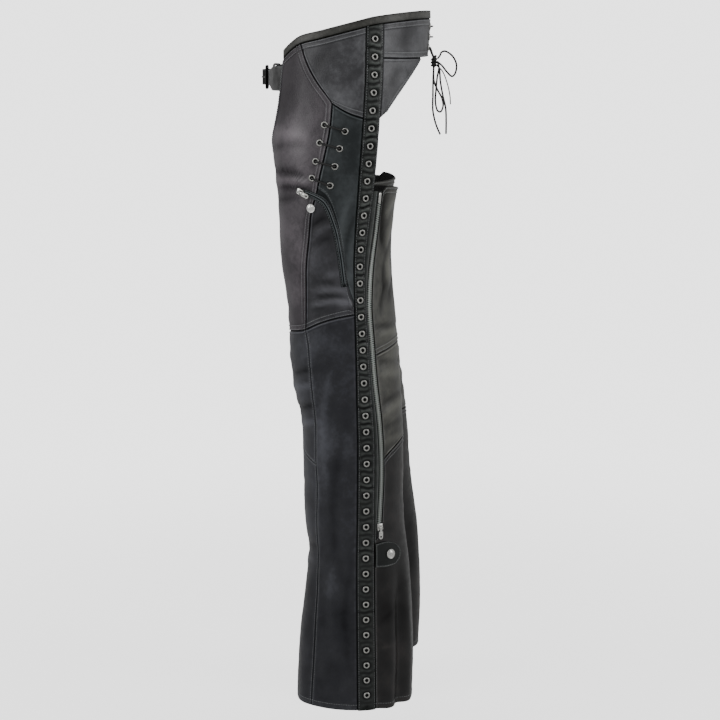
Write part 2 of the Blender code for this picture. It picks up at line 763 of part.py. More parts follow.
def make_front_panels():
    """Thigh, hip yoke, side and pocket pieces above the knee, and the knee and shins below it."""
    front_top, yoke_top, _, _ = waist_stretches(BAND_HEIGHT)
    hip = flip(sample([yoke_top[0]] + [side(*point) for point in HIP_SEAM[1:]], 4))
    hip_back = side_line(to_strip(HIP_SEAM_BACK, HIP_SEAM_Z), 6)
    laced, laced_behind = flip(side_line(LACE_SEAM, 5)), flip(side_line(LACE_SEAM, 7))
    pocket = side_line(to_strip(POCKET_SEAM, POCKET_SEAM_Z), 6)
    pocket_front = flip(side_line(POCKET_FRONT, 3))
    edge = sample([(-180.0, CROTCH_Z)] + [facing(x, z) for x, z in FRONT_EDGE[:0:-1]] + [front_top[0]], 7)
    knee_front = sample(KNEE_INNER + (side(-74, -496), side(*POCKET_FRONT[-1])), 9)
    knee_side = side_line(to_strip(KNEE_SEAM, KNEE_SEAM_Z), 6)
    knee_shin = side_line(to_strip(KNEE_SEAM, KNEE_SEAM_Z), 4)
    shin_front = sample(SHIN_INNER + (side(*HEM_SEAM[0]),), 9)
    upper_shin = flip(side_line(SHIN_SEAM, 4))
    lower_shin = flip(side_line(HEM_SEAM, 8))
    hem_front = [(angle, HEM_Z) for angle in steps(-180.0, side(*HEM_SEAM[-1])[0], 9)]
    hem_side = [(angle, HEM_Z) for angle in steps(hem_front[-1][0], strip_left(HEM_Z)[0], 4)]

    panel("front_thigh", "thigh_leather", knee_front, join(pocket_front, laced, hip), join(edge, front_top),
          inseam(-180.0, KNEE_Z, CROTCH_Z, 12), paired=True)
    panel("hip_yoke", "yoke_leather", hip_back, rows(strip_left, yoke_top[-1][1], HIP_SEAM_Z, 4),
          yoke_top, hip)
    panel("side_thigh", "side_leather", pocket, rows(strip_left, HIP_SEAM_Z, POCKET_SEAM_Z, 7),
          hip_back, laced_behind)
    panel("pocket_panel", "side_leather", knee_side, rows(strip_left, POCKET_SEAM_Z, KNEE_SEAM_Z, 3),
          pocket, pocket_front)
    panel("front_knee", "shin_leather", shin_front, upper_shin, knee_front,
          inseam(-180.0, SHIN_Z, KNEE_Z, 4))
    panel("front_shin", "shin_leather", hem_front, lower_shin, shin_front,
          inseam(-180.0, HEM_Z, SHIN_Z, 8))
    panel("side_shin", "shin_leather", hem_side, rows(strip_left, KNEE_SEAM_Z, HEM_Z, 12), knee_shin,
          join(lower_shin, upper_shin))


def inseam(angle, low, high, count):
    return [(angle, z) for z in steps(low, high, count)]


def back_line(start, knots):
    """A line round the back of the leg from a start place to the inseam, on the back columns."""
    places = [start] + list(knots)
    angles = [start[0] + (180.0 - start[0]) * turn for turn in BACK_STEPS]
    return [(angle, smooth(column(places, 0), column(places, 1), angle)) for angle in angles]


def make_back_panels():
    """Thigh, knee and calf pieces behind the side zip, and the yoke and gusset at the seat."""
    top = back_line(zip_right(ZIP_TOP_Z), BACK_TOP)
    knee = back_line(zip_right(ZIP_KNEE_Z), BACK_KNEE)
    calf = back_line(zip_right(ZIP_CALF_Z), BACK_CALF)
    hem = back_line(strip_right(HEM_Z), BACK_HEM)
    thigh_edge, knee_edge, calf_edge = zip_edges()
    panel("back_thigh", "back_leather", knee, inseam(180.0, KNEE_Z, CROTCH_Z, 6), top, thigh_edge)
    panel("back_knee", "back_leather", calf, inseam(180.0, SHIN_Z, KNEE_Z, 4), knee, knee_edge)
    foot_z = ZIP_END_Z - ZIP_SLANT
    left = join(rows(strip_right, foot_z, HEM_Z, 5), [strip_right(foot_z), zip_right(ZIP_END_Z)], calf_edge)
    panel("back_calf", "calf_leather", hem, inseam(180.0, HEM_Z, SHIN_Z, 8), calf, left)

    _, _, _, yoke_top = waist_stretches(BAND_HEIGHT)
    yoke_start = strip_right(YOKE_SEAM_Z)
    middle = side(80, -91)
    yoke_seam = sample([yoke_start, middle, facing(YOKE_END_X, YOKE_SEAM_Z, back=True)], 8)
    yoke_end = [facing(YOKE_END_X, z, back=True) for z in steps(YOKE_SEAM_Z, yoke_top[-1][1], 3)]
    panel("back_yoke", "yoke_leather", yoke_seam, yoke_end, yoke_top,
          rows(strip_right, yoke_top[0][1], YOKE_SEAM_Z, 3))
    gusset_top = sample([yoke_start, middle, side(*GUSSET_HEM[-1])], 5)
    gusset_bottom = side_line(((strip_edge_y(GUSSET_Z, 1.0), GUSSET_Z), GUSSET_HEM[0]), 5)
    panel("back_gusset", "yoke_leather", gusset_bottom, side_line(GUSSET_HEM, 4), gusset_top,
          rows(strip_right, YOKE_SEAM_Z, GUSSET_Z, 4))


def zip_edges():
    """The back panels' edges along the zip: thigh, knee and calf."""
    return (rows(zip_right, ZIP_TOP_Z, ZIP_KNEE_Z, 6), rows(zip_right, ZIP_KNEE_Z, ZIP_CALF_Z, 4),
            rows(zip_right, ZIP_CALF_Z, ZIP_END_Z, 2))


def eyelet_z(index):
    """Height of an eyelet on the side strip, counted from the top; halves lie between eyelets."""
    return EYELET_TOP_Z - EYELET_PITCH * index + 0.5 * EYELET_CLOSING * index ** 2


def make_strip():
    """The side strip, with its raised eyelet rings and their holes."""
    tops = [z - 0.5 * SEAM_GAP for _, z in waist_stretches(BAND_HEIGHT)[2]]
    levels = [tops] + [[eyelet_z(index - 0.5)] * 2 for index in range(EYELET_COUNT + 1)] + [[HEM_Z] * 2]
    points, faces = [], []

    def place(y_offset, z, lift):
        centre = smooth(column(STRIP, 0), column(STRIP, 1), z)
        angle, _ = side(centre + y_offset, z)
        points.append(skin(angle, z, lift))
        return len(points) - 1

    def edge_row(ends):
        half_width = smooth(column(STRIP, 0), column(STRIP, 2), ends[0]) - 0.5 * SEAM_GAP
        return [place(sign * half_width, z, lift) for lift in (STRIP_OUTER, STRIP_INNER)
                for sign, z in zip((-1, 1), ends)]

    edges = [edge_row(z) for z in levels]
    for row, (high, low) in enumerate(zip(edges, edges[1:])):
        faces.append((high[0], low[0], low[2], high[2]))
        faces.append((low[1], high[1], high[3], low[3]))
        if row in (0, len(edges) - 2):
            faces.append((low[0], low[1], high[1], high[0]))
            faces.append((low[3], low[2], high[2], high[3]))
            continue
        ring = eyelet_ring(place, eyelet_z(row - 1))
        outer_ring, hole = ring[0], ring[-1]
        faces += ring_faces(ring)
        faces += around_ring(outer_ring, (high[1], high[0], low[0], low[1]))
        faces += around_ring(hole, (high[3], high[2], low[2], low[3]))
    faces.append(tuple(edges[0][index] for index in (1, 0, 2, 3)))
    faces.append(tuple(edges[-1][index] for index in (0, 1, 3, 2)))
    add_object("left_eyelet_strip", mesh_from("eyelet_strip", points, faces), "strip_leather")


def eyelet_ring(place, z):
    """Rings of points for one eyelet: foot, crest, and the hole's inner end."""
    rings = []
    for radius, lift in ((EYELET_RADIUS, STRIP_OUTER), (EYELET_CREST_RADIUS, STRIP_OUTER + EYELET_CREST),
                         (EYELET_HOLE_RADIUS, STRIP_INNER)):
        turns = [math.tau * index / EYELET_SIDES for index in range(EYELET_SIDES)]
        rings.append([place(radius * math.cos(turn), z + radius * math.sin(turn), lift) for turn in turns])
    return rings


def ring_faces(rings):
    faces = []
    for outer, inner in zip(rings, rings[1:]):
        for index in range(EYELET_SIDES):
            after = (index + 1) % EYELET_SIDES
            faces.append((outer[index], outer[after], inner[after], inner[index]))
    return faces


def around_ring(ring, corners):
    """Faces between a six-sided ring that starts at the right and its four corners, from upper right."""
    upper_right, upper_left, lower_left, lower_right = corners
    return [(upper_right, ring[0], ring[1]), (upper_right, ring[1], ring[2], upper_left),
            (upper_left, ring[2], ring[3]), (upper_left, ring[3], lower_left),
            (lower_left, ring[3], ring[4]), (lower_left, ring[4], ring[5], lower_right),
            (lower_right, ring[5], ring[0]), (lower_right, ring[0], upper_right)]


def make_side_zip():
    """Tape and closed teeth down the side, between the strip and the back panels."""
    edge = TEETH_HALF_WIDTH + TEETH_BEVEL
    offsets = (-edge, -TEETH_HALF_WIDTH, TEETH_HALF_WIDTH, edge)
    lifts = (TAPE_OUTER, TAPE_OUTER, TEETH_OUTER, TEETH_OUTER, TAPE_OUTER, TAPE_OUTER)
    edges = join(*reversed(zip_edges()))
    ends = [ZIP_END_Z - share * ZIP_SLANT for share in ZIP_SLANTS]
    grid = []
    for _, z in edges:
        share = (z - ZIP_END_Z) / (ZIP_TOP_Z - ZIP_END_Z)
        levels = [end + (ZIP_TOP_Z - end) * share for end in ends]
        middle = [zip_line(z, offset) for z, offset in zip(levels[1:-1], offsets)]
        grid.append([strip_right(levels[0])] + middle + [zip_right(levels[-1])])
    mesh = wall_mesh("side_zip", inset(grid, 0.5 * SEAM_GAP), lifts, TAPE_INNER)
    add_object("left_side_zip", mesh, "zip_metal")


# ---------------------------------------------------------------- pocket, tab and fasteners

def make_pocket_welt():
    """The raised lips of the curved pocket zip."""
    outer_line, inner_line = side_line(WELT_OUTER, 10), side_line(WELT_INNER, 10)
    grid = [[between(low, high, share) for share in WELT_COLUMNS]
            for low, high in zip(inner_line, outer_line)]
    mesh = wall_mesh("pocket_welt", grid, WELT_LIFTS, LIFT)
    add_object("left_pocket_welt", mesh, "side_leather")


def make_snap_tab():
    """The rounded leather tab that closes the leg below the zip."""
    root_top, root_bottom = [(strip_right(z)[0] + TAB_START_TURN, z) for z in TAB_ROOT_Z]
    top = sample([root_top] + [side(*point) for point in TAB_TOP], 4)
    bottom = sample([root_bottom] + [side(*point) for point in TAB_BOTTOM], 4)
    right = side_line(TAB_NOSE, 4)
    left = sample([root_bottom, root_top], 4)
    mesh = wall_mesh("snap_tab", coons(bottom, right, top, left), LIFT + WALL, LIFT)
    add_object("left_snap_tab", mesh, "side_leather")


def snap_profile(radius, height):
    """A domed press stud with a rolled rim and a slightly sunk middle."""
    return ((0.0, 0.86 * height), (0.55 * radius, height), (0.88 * radius, 0.8 * height),
            (radius, 0.35 * height), (0.86 * radius, 0.0), (0.0, 0.0))


def make_snaps():
    lathe("left_pocket_snap", "nickel", snap_profile(*POCKET_SNAP_SIZE), 10,
          stand(*side(*POCKET_SNAP), LIFT))
    lathe("left_tab_snap", "nickel", snap_profile(*TAB_SNAP_SIZE), 10,
          stand(*side(*TAB_SNAP), LIFT + WALL + SEAM_GAP))


def make_slider(name, place):
    """Slider body, two ears and the pin that the pull hangs on."""
    body = solid_box("left_" + name, (SLIDER_WIDTH, SLIDER_LENGTH, SLIDER_HEIGHT),
                     (0, 0, 0.5 * SLIDER_HEIGHT), place, "nickel")
    ear_top, ear_foot = HINGE_HEIGHT + EAR_RISE, 0.5 * SLIDER_HEIGHT
    for sign in (-1, 1):
        ear = solid_box("ear", (EAR_THICKNESS, EAR_LENGTH, ear_top - ear_foot),
                        (sign * EAR_SPACING, HINGE_Y, 0.5 * (ear_top + ear_foot)), place, "nickel")
        combine(body, ear, "UNION")
    pin = solid_rod("pin", PIN_RADIUS, 2 * EAR_SPACING, (0, HINGE_Y, HINGE_HEIGHT), "X", place, "nickel", 8)
    combine(body, pin, "UNION")


def make_pull(name, place, length):
    """A flat pull tab with an eye round the pin and a hole near its end."""
    pull = solid_rod("left_" + name, PULL_EYE_RADIUS, PULL_EYE_WIDTH, (0, 0, 0), "X", place, "nickel", 10)
    neck = solid_box("neck", (3.0, 6.0, 1.4), (0, -3.6, 0), place, "nickel")
    plate = solid_box("plate", (PULL_WIDTH, length - PULL_NECK_END, 1.2),
                      (0, -0.5 * (length + PULL_NECK_END), 0), place, "nickel")
    end = solid_rod("end", 0.5 * PULL_WIDTH - 0.1, 1.1, (0, -length, 0), "Z", place, "nickel", 10)
    hole = solid_rod("hole", 1.5, 4.0, (0, -length + 0.6, 0), "Z", place, "nickel", 6)
    eye = solid_rod("eye", PULL_EYE_HOLE, 2 * PULL_EYE_WIDTH, (0, 0, 0), "X", place, "nickel", 10)
    for added in (neck, plate, end):
        combine(pull, added, "UNION")
    for cutter in (hole, eye):
        combine(pull, cutter, "DIFFERENCE")


def pull_place(slider):
    """The pull's own place on its pin, turned so that it hangs at rest."""
    across = slider.to_3x3().col[0].normalized()
    down = Vector((0, 0, -1))
    down = (down - across * down.dot(across)).normalized()
    turned = Matrix((across, -down, across.cross(-down))).transposed().to_4x4()
    turned.translation = slider @ (Vector((0, HINGE_Y, HINGE_HEIGHT)) * MM)
    return turned


def make_zip_hardware():
    """The sliders of the side zip and of the pocket zip, each with its pull."""
    angle, z = zip_line(ZIP_SLIDER_Z)
    across = base_point(angle + 0.5, z) - base_point(angle - 0.5, z)
    across.z = 0.0
    slider = stand(angle, z, TEETH_OUTER + SEAM_GAP, across)
    make_slider("side_zip_slider", slider)
    make_pull("side_zip_pull", pull_place(slider), SIDE_PULL_LENGTH)

    angle, z = side(*POCKET_SLIDER)
    front, rear = (skin(*side(*point)) for point in POCKET_ZIP_RUN)
    across = skin_normal(angle, z).cross(rear - front)
    slider = stand(angle, z, max(WELT_LIFTS) + SEAM_GAP, across)
    make_slider("pocket_slider", slider)
    make_pull("pocket_pull", pull_place(slider), POCKET_PULL_LENGTH)


def add_eyelet(target, angle, z):
    """A raised ring and a hole through a panel."""
    place = stand(angle, z, 0.0)
    ring = solid_rod("ring", LACED_EYELET_RADIUS, LACED_EYELET_RISE + LACED_EYELET_FOOT,
                     (0, 0, 0.5 * (LACED_EYELET_RISE - LACED_EYELET_FOOT)), "Z", place, "nickel", LACED_SIDES)
    combine(target, ring, "UNION")
    hole = solid_rod("hole", LACED_HOLE_RADIUS, 12.0, (0, 0, 0), "Z", place, "nickel", LACED_SIDES)
    combine(target, hole, "DIFFERENCE")


def make_laced_eyelets():
    for y, z in EYELETS_FRONT:
        add_eyelet(bpy.data.objects["left_front_thigh"], *side(y, z))
    for y, z in EYELETS_SIDE:
        add_eyelet(bpy.data.objects["left_side_thigh"], *side(y, z))
    for x, z in EYELETS_YOKE:
        add_eyelet(bpy.data.objects["left_back_yoke"], *facing(x, z, back=True))


def make_pocket_lace():
    """The lace that crosses the thigh seam in four bars and runs down behind it."""
    knots, last = [], None
    for front, rear in zip(EYELETS_FRONT, EYELETS_SIDE):
        first = side(*front)
        if last:
            knots.append(skin(*between(last, first, 0.5), LACE_UNDER - 0.6))
        last = side(*rear)
        knots += [skin(*first, LACE_UNDER), skin(*first, LACE_IN_HOLE)]
        knots += [skin(*between(first, last, share), LACE_OVER) for share in (0.08, 0.5, 0.92)]
        knots += [skin(*last, LACE_IN_HOLE), skin(*last, LACE_UNDER)]
    tube_mesh_object(lace("left_pocket_lace", knots))


# ---------------------------------------------------------------- belt

def belt_point(x, out, z):
    """A point on the belt's front curve, moved out by its plan normal."""
    share = (BELT_MIDDLE_Z + BELT_HALF_HEIGHT - z) / (2 * BELT_HALF_HEIGHT)
    half_width = BELT_HALF_WIDTHS[0] + (BELT_HALF_WIDTHS[1] - BELT_HALF_WIDTHS[0]) * share
    rise = math.sqrt(1.0 - (x / half_width) ** 2)
    normal = Vector((x * BELT_DEPTH / (half_width ** 2 * rise), -1.0, 0.0)).normalized()
    return Vector((x, BELT_CENTRE_Y - BELT_DEPTH * rise, z)) + normal * out


def belt_half_height(reach):
    """Half the height of a strap at a distance from the middle, toward its own leg."""
    near, far = BELT_TAPER
    share = ramp((reach - near) / (far - near))
    return BELT_END_HALF_HEIGHT + (BELT_HALF_HEIGHT - BELT_END_HALF_HEIGHT) * share


def strap(name, path, leg_side):
    """A strap along (x, out) knots, which starts under one leg's front panel (left 1, right -1)."""
    half = 0.5 * BELT_THICKNESS
    points = []
    for index, (x, out) in enumerate(path):
        half_height = belt_half_height(leg_side * x)
        for z in (BELT_MIDDLE_Z - half_height, BELT_MIDDLE_Z + half_height):
            before = belt_point(*path[max(index - 1, 0)], z)
            after = belt_point(*path[min(index + 1, len(path) - 1)], z)
            run = after - before
            across = Vector((-run.y, run.x, 0.0)).normalized()
            centre = belt_point(x, out, z)
            points += [centre - across * half, centre + across * half]
    faces = []
    for index in range(len(path) - 1):
        low, high = 4 * index, 4 * index + 4
        for first, second in ((0, 1), (1, 3), (3, 2), (2, 0)):
            faces.append((low + first, low + second, high + second, high + first))
    faces += [(0, 1, 3, 2), tuple(len(points) - 4 + corner for corner in (2, 3, 1, 0))]
    return add_object(name, mesh_from(name, points, faces), "belt_leather")


def make_belt():
    """Two straps, a wire buckle at the front and a keeper."""
    right = [(-x, out) for x, out in BELT_UNDER] + [(x, BELT_OUT) for x in (-85, -70, -55, -40, -28, -18)]
    for turn in steps(-90.0, 90.0, 8):
        right.append((-BUCKLE_HALF_WIDTH + FOLD_RADIUS * math.cos(math.radians(turn)),
                      BUCKLE_OUT + FOLD_RADIUS * math.sin(math.radians(turn))))
    right += [(-20, BUCKLE_OUT + 3.0), (-27, 4.9), (-33, 4.25), (-48, 4.25)]
    strap("belt_right_strap", right, -1)
    left = list(BELT_UNDER) + [(x, BELT_OUT) for x in (85, 70, 55, 40, 28, 16)]
    left += [(10, 1.6), (5, 3.2), (-1, 7.0), (-6.5, 10.4), (-12, 12.2), (-17, 12.1), (-21, 11.3), (-26, 9.3)]
    left += [(-33, 7.4), (-48, 7.4), (-56, 4.9), (-64, 4.35), (-82, 4.35), (-98, 4.35)]
    strap("belt_left_strap", left, 1)
    make_buckle()
    make_keeper()


def make_buckle():
    """A rounded wire frame and its tongue."""
    knots = []
    for sign_x, sign_z, start in ((1, 1, 0.0), (-1, 1, 90.0), (-1, -1, 180.0), (1, -1, 270.0)):
        for turn in steps(start, start + 90.0, 3):
            x = sign_x * (BUCKLE_HALF_WIDTH - BUCKLE_CORNER) + BUCKLE_CORNER * math.cos(math.radians(turn))
            z = sign_z * (BUCKLE_HALF_HEIGHT - BUCKLE_CORNER) + BUCKLE_CORNER * math.sin(math.radians(turn))
            knots.append(belt_point(x, BUCKLE_OUT, BELT_MIDDLE_Z) + Vector((0, 0, z)))
    frame = bpy.data.curves.new("belt_buckle", "CURVE")
    frame.dimensions = "3D"
    frame.bevel_depth = BUCKLE_RADIUS * MM
    frame.bevel_resolution = 2
    spline = frame.splines.new("POLY")
    spline.points.add(len(knots) - 1)
    spline.use_cyclic_u = True
    for point, place in zip(spline.points, knots):
        point.co = (*(place * MM), 1.0)
    made = bpy.data.objects.new("belt_buckle", frame)
    parts.objects.link(made)
    frame.materials.append(material("dark_metal"))
    buckle = tube_mesh_object(made)
    tongue_knots = [belt_point(x, out, BELT_MIDDLE_Z) for x, out in TONGUE]
    tongue = tube_mesh_object(lace("tongue", tongue_knots, radius=TONGUE_RADIUS, spacing=4.0))
    combine(buckle, tongue, "UNION")


def make_keeper():
    """A flat loop round both straps."""
    points = []
    for x in KEEPER_ENDS:
        for wall in (KEEPER_THICKNESS, 0.0):
            low, high = KEEPER_INNER[0] - wall, KEEPER_INNER[1] + wall
            half_height = belt_half_height(-x) + KEEPER_CLEARANCE + wall
            bottom, top = BELT_MIDDLE_Z - half_height, BELT_MIDDLE_Z + half_height
            points += [belt_point(x, out, z)
                       for out, z in ((low, bottom), (high, bottom), (high, top), (low, top))]
    faces = []
    for index in range(4):
        after = (index + 1) % 4
        faces.append((index, after, 8 + after, 8 + index))
        faces.append((4 + after, 4 + index, 12 + index, 12 + after))
        faces.append((after, index, 4 + index, 4 + after))
        faces.append((8 + index, 8 + after, 12 + after, 12 + index))
    add_object("belt_keeper", mesh_from("belt_keeper", points, faces), "belt_leather")


# ---------------------------------------------------------------- back lace

def yoke_hole(index, mirror):
    """Points through one yoke eyelet: inside, in the hole, and outside toward the gap."""
    x, z = EYELETS_YOKE[index]
    place = facing(x, z, back=True)
    toward = facing(x - 2.4, z, back=True)
    points = (skin(*place, LACE_UNDER), skin(*place, LACE_IN_HOLE), skin(*toward, LACE_OVER))
    return [Vector((mirror * point.x, point.y, point.z)) for point in points]


def gap_middle(index):
    """The middle of the gap between the yokes, at the height of one pair of eyelets."""
    return [Vector((0.0, LACE_GAP_Y, EYELETS_YOKE[index][1]))]


def make_back_lace():
    """Cross lacing between the yoke ends, its knot, a bow and three free ends."""
    left = [yoke_hole(index, 1) for index in range(3)]
    right = [yoke_hole(index, -1) for index in range(3)]
    start, mirrored_start = Vector(KNOT_SIDE), Vector((-KNOT_SIDE[0], KNOT_SIDE[1], KNOT_SIDE[2]))
    bars = [mirrored_start] + flip(right[2]) + right[1] + gap_middle(1)
    bars += flip(left[1]) + left[0] + gap_middle(0) + flip(right[0])
    lace("back_lace_bars", bars)
    lace("back_lace_side", [start] + flip(left[2]))
    lace("bow_loop_left", LOOP_LEFT, spacing=FREE_STEP)
    lace("bow_loop_right", LOOP_RIGHT, spacing=FREE_STEP)
    lace("lace_end_long", END_LONG, spacing=FREE_STEP)
    lace("lace_end_middle", END_MIDDLE, spacing=FREE_STEP)
    lace("lace_end_thin", END_THIN, radius=THIN_LACE_RADIUS, spacing=FREE_STEP)
    lathe("lace_knot", "lace", KNOT_PROFILE, 8, Matrix.Translation(Vector(KNOT) * MM))


def build():
    make_waistband()
    make_front_panels()
    make_back_panels()
    make_strip()
    make_side_zip()
    make_laced_eyelets()
    make_pocket_welt()
    make_snap_tab()
    make_snaps()
    make_zip_hardware()
    make_pocket_lace()
    mirror_leg()
    make_belt()
    make_back_lace()


for leftover in list(bpy.data.objects):
    bpy.data.objects.remove(leftover)
parts = bpy.data.collections.new("leather_chaps")
bpy.context.scene.collection.children.link(parts)
build()
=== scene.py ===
"""Leather chaps: panels, topstitching, eyelets, zips, laces and belt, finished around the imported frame.

Lengths in the tables are millimetres and angles are degrees. The wearer faces -Y, the wearer's left
is +X, +Z is up, and the origin is the centre of the waist. An angle runs round the left leg from its
outer side (0) through the back (90) to the inseam (180), and through the front (-90) to the inseam (-180).
"""

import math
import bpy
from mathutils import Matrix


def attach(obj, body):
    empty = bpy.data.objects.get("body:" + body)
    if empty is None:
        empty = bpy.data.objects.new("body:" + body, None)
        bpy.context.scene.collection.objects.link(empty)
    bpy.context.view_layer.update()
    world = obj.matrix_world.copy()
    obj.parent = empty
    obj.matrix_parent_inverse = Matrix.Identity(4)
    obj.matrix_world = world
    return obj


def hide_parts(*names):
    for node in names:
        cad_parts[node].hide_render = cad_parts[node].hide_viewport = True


bl_info = {
    "name": "Leather Chaps",
    "version": (1, 0, 0),
    "blender": (4, 5, 0),
    "location": "View3D > Sidebar > Chaps",
    "description": "Builds laced leather chaps with their stitching, zips, eyelets and belt",
    "category": "Object",
}

import bmesh
import bpy
import numpy as np
from bpy.props import FloatProperty, FloatVectorProperty, PointerProperty
from mathutils import Matrix, Vector, noise

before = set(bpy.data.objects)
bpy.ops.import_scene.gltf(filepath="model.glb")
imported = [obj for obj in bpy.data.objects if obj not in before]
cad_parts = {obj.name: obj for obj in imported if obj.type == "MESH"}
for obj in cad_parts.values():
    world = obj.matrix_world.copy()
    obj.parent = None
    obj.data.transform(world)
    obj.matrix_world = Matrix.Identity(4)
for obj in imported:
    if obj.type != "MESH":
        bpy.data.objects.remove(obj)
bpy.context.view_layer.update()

MM = 0.001
BODY = "garment"
LEGS = (("left", 1), ("right", -1))

# ---------------------------------------------------------------- the cut of the garment (mm, degrees)

SECTIONS = np.array((
    # z,     front,  back, outer, inner
    (0,      -124,   124,   160,  -160),
    (-40,    -126,   125,   167,  -165),
    (-90,    -126,   121,   175,  -160),
    (-140,   -124,   116,   182,  -120),
    (-190,   -120,   108,   187,   -55),
    (-235,   -116,    92,   190,    -8),
    (-285,   -110,    74,   190,     6),
    (-335,   -107,    66,   188,     9),
    (-390,   -105,    64,   186,    12),
    (-440,    -98,    67,   185,    15),
    (-490,    -93,    72,   185,    19),
    (-545,    -91,    75,   186,    23),
    (-600,    -84,    80,   187,    28),
    (-642,    -74,    82,   187,    33),
    (-700,    -72,    83,   187,    38),
    (-765,    -71,    83,   188,    43),
    (-800,    -69,    85,   189,    46),
    (-845,    -64,    90,   190,    48),
    (-885,    -67,    94,   191,    49),
    (-950,    -75,    98,   193,    50),
    (-1010,   -80,   100,   196,    50),
    (-1090,   -83,    98,   199,    49),
), float)

FOLDS = (
    # start z, full z, angle, half width, depth
    (-800,    -980,     23,    6.0,   -2.5),
    (-815,   -1000,     36,    8.0,    4.0),
    (-830,    -980,     51,    7.0,   -8.0),
    (-830,   -1000,     66,    9.0,    3.0),
    (-800,   -1000,    136,   16.0,   -8.0),
    (-800,   -1000,   -136,   18.0,   -6.0),
    (-860,   -1020,    -62,   16.0,    3.0),
)

SWAY = np.array((
    # z,     how far the right leg swings back
    (0,       0.0),
    (-430,    0.0),
    (-490,    0.6),
    (-550,    2.2),
    (-606,    5.2),
    (-676,   10.6),
    (-761,   16.8),
    (-850,   20.0),
    (-960,   19.5),
    (-1090,  18.0),
), float)

STRIP = np.array((
    # z,     centre y, half width
    (-30,     38.0,     12.7),
    (-120,    36.5,     12.5),
    (-172,    33.5,     12.2),
    (-223,    30.0,     12.0),
    (-267,    26.2,     11.8),
    (-296,    23.6,     11.2),
    (-335,    19.6,     10.1),
    (-370,    16.5,      9.0),
    (-400,    15.1,      8.5),
    (-444,    15.9,      8.4),
    (-475,    17.2,      8.7),
    (-505,    18.8,      9.3),
    (-565,    21.2,     10.4),
    (-626,    24.0,     12.1),
    (-673,    25.6,     12.9),
    (-782,    25.0,     13.0),
    (-845,    24.6,     13.4),
    (-908,    24.9,     13.6),
    (-1090,   26.6,     14.0),
), float)

ZIP = np.array((
    # z,     centre y of the teeth
    (-280,    46.6),
    (-341,    39.6),
    (-401,    32.0),
    (-453,    29.6),
    (-480,    30.8),
    (-506,    33.0),
    (-555,    36.6),
    (-582,    39.2),
    (-629,    44.6),
    (-675,    47.6),
    (-722,    48.1),
    (-769,    46.2),
    (-815,    43.6),
), float)

WALL = 2.0
SEAM_GAP = 0.3
LIFT = 0.5
BAND_HEIGHT = 13.0
HEM_Z = -1083.0
CROTCH_Z = -290.0
KNEE_Z = -515.0
SHIN_Z = -668.0
STRIP_OUTER = 1.5
STRIP_INNER = -1.0
EYELET_COUNT = 41
EYELET_TOP_Z = -63.0
EYELET_PITCH = 25.98
EYELET_CLOSING = 0.0546
ZIP_TOP_Z = -286.0
ZIP_END_Z = -806.0
ZIP_SLANT = 12.0
ZIP_KNEE_Z = -531.0
ZIP_CALF_Z = -692.0
TEETH_HALF_WIDTH = 3.2
TAPE_MARGIN = 1.2
YOKE_END_X = 22.0

# Heights at which seams meet the side strip
YOKE_FOOT_Z = -177.0
SIDE_FOOT_Z = -455.0
KNEE_FOOT_Z = -467.0
BACK_YOKE_Z = -90.0
GUSSET_FOOT_Z = -178.0

# Seams seen from the side, as (y, z)
WAIST_LINE = ((-86, -67), (-73, -58), (-41, -50), (16, -35.5), (36, -30.5), (74, -25), (108, -21))
HIP_SEAM = ((-72, -72), (-65, -93), (-57, -110), (-46, -128), (-35, -142), (-25, -155))
HIP_SEAM_BACK = ((-25, -155), (-11, -164), (3, -171))
LACE_SEAM = ((-25, -155), (-28, -189), (-33, -216), (-38, -238), (-43, -259), (-48, -286))
POCKET_SEAM = ((-48, -286), (-37, -293), (-29, -303), (-22, -321), (-15, -345), (-8, -385), (0, -433))
POCKET_FRONT = ((-48, -286), (-57, -317), (-61, -361), (-65, -428), (-66, -493))
SHIN_SEAM = ((-66, -493), (-61, -523), (-55, -600), (-51, -650), (-51, -701))
HEM_SEAM = ((-51, -701), (-49, -740), (-50, -787), (-48, -851), (-50, -914), (-54, -995), (-59, -1083))
KNEE_SEAM = ((-66, -493), (-44, -481), (-21, -473))
YOKE_SEAM_SIDE = (80, -91)
YOKE_SEAM_END = (109, -92)
GUSSET_HEM = ((56, -168), (72, -146), (90, -121), YOKE_SEAM_END)
GUSSET_FOOT_WIDTH = 24.4
WELT_OUTER = ((-77, -279), (-56, -284), (-37, -292), (-28, -303), (-21, -321), (-13.5, -345), (-6.5, -385),
              (-1.5, -425))
WELT_INNER = ((-76, -288), (-58, -293), (-43, -302), (-36, -311), (-30, -326), (-23.5, -348), (-17, -387),
              (-12, -426))

# Seams round the front and the back, as (angle, z)
KNEE_FRONT = ((-180.0, KNEE_Z), (-130.0, -511.0), (-90.0, -504.0))
SHIN_FRONT = ((-180.0, SHIN_Z), (-130.0, -672.0), (-90.0, -681.0))
THIGH_BACK = ((50.0, -280.0), (85.0, -284.0), (180.0, CROTCH_Z))
KNEE_BACK = ((45.0, -527.0), (75.0, -519.0), (180.0, KNEE_Z))
CALF_BACK = ((45.0, -683.0), (75.0, -668.0), (180.0, SHIN_Z))
FRONT_EDGE = (
    # x,    z, the front panel's inner edge
    (110,  -92),
    (114, -140),
    (112, -175),
    (100, -205),
    (72,  -232),
    (42,  -255),
    (22,  -272),
)
EYELETS_FRONT = ((-36, -187), (-43, -213), (-49, -240), (-54.6, -264.5))
EYELETS_SIDE = ((-6, -196), (-14, -221), (-21, -247), (-28, -275))
EYELETS_YOKE = ((30, -44), (30, -60), (30, -76))
POCKET_SNAP = (-56.0, -309.0)
POCKET_SLIDER = (-70.0, -285.0)
ZIP_SLIDER_Z = -795.0
TAB_SNAP = (61.0, -839.0)
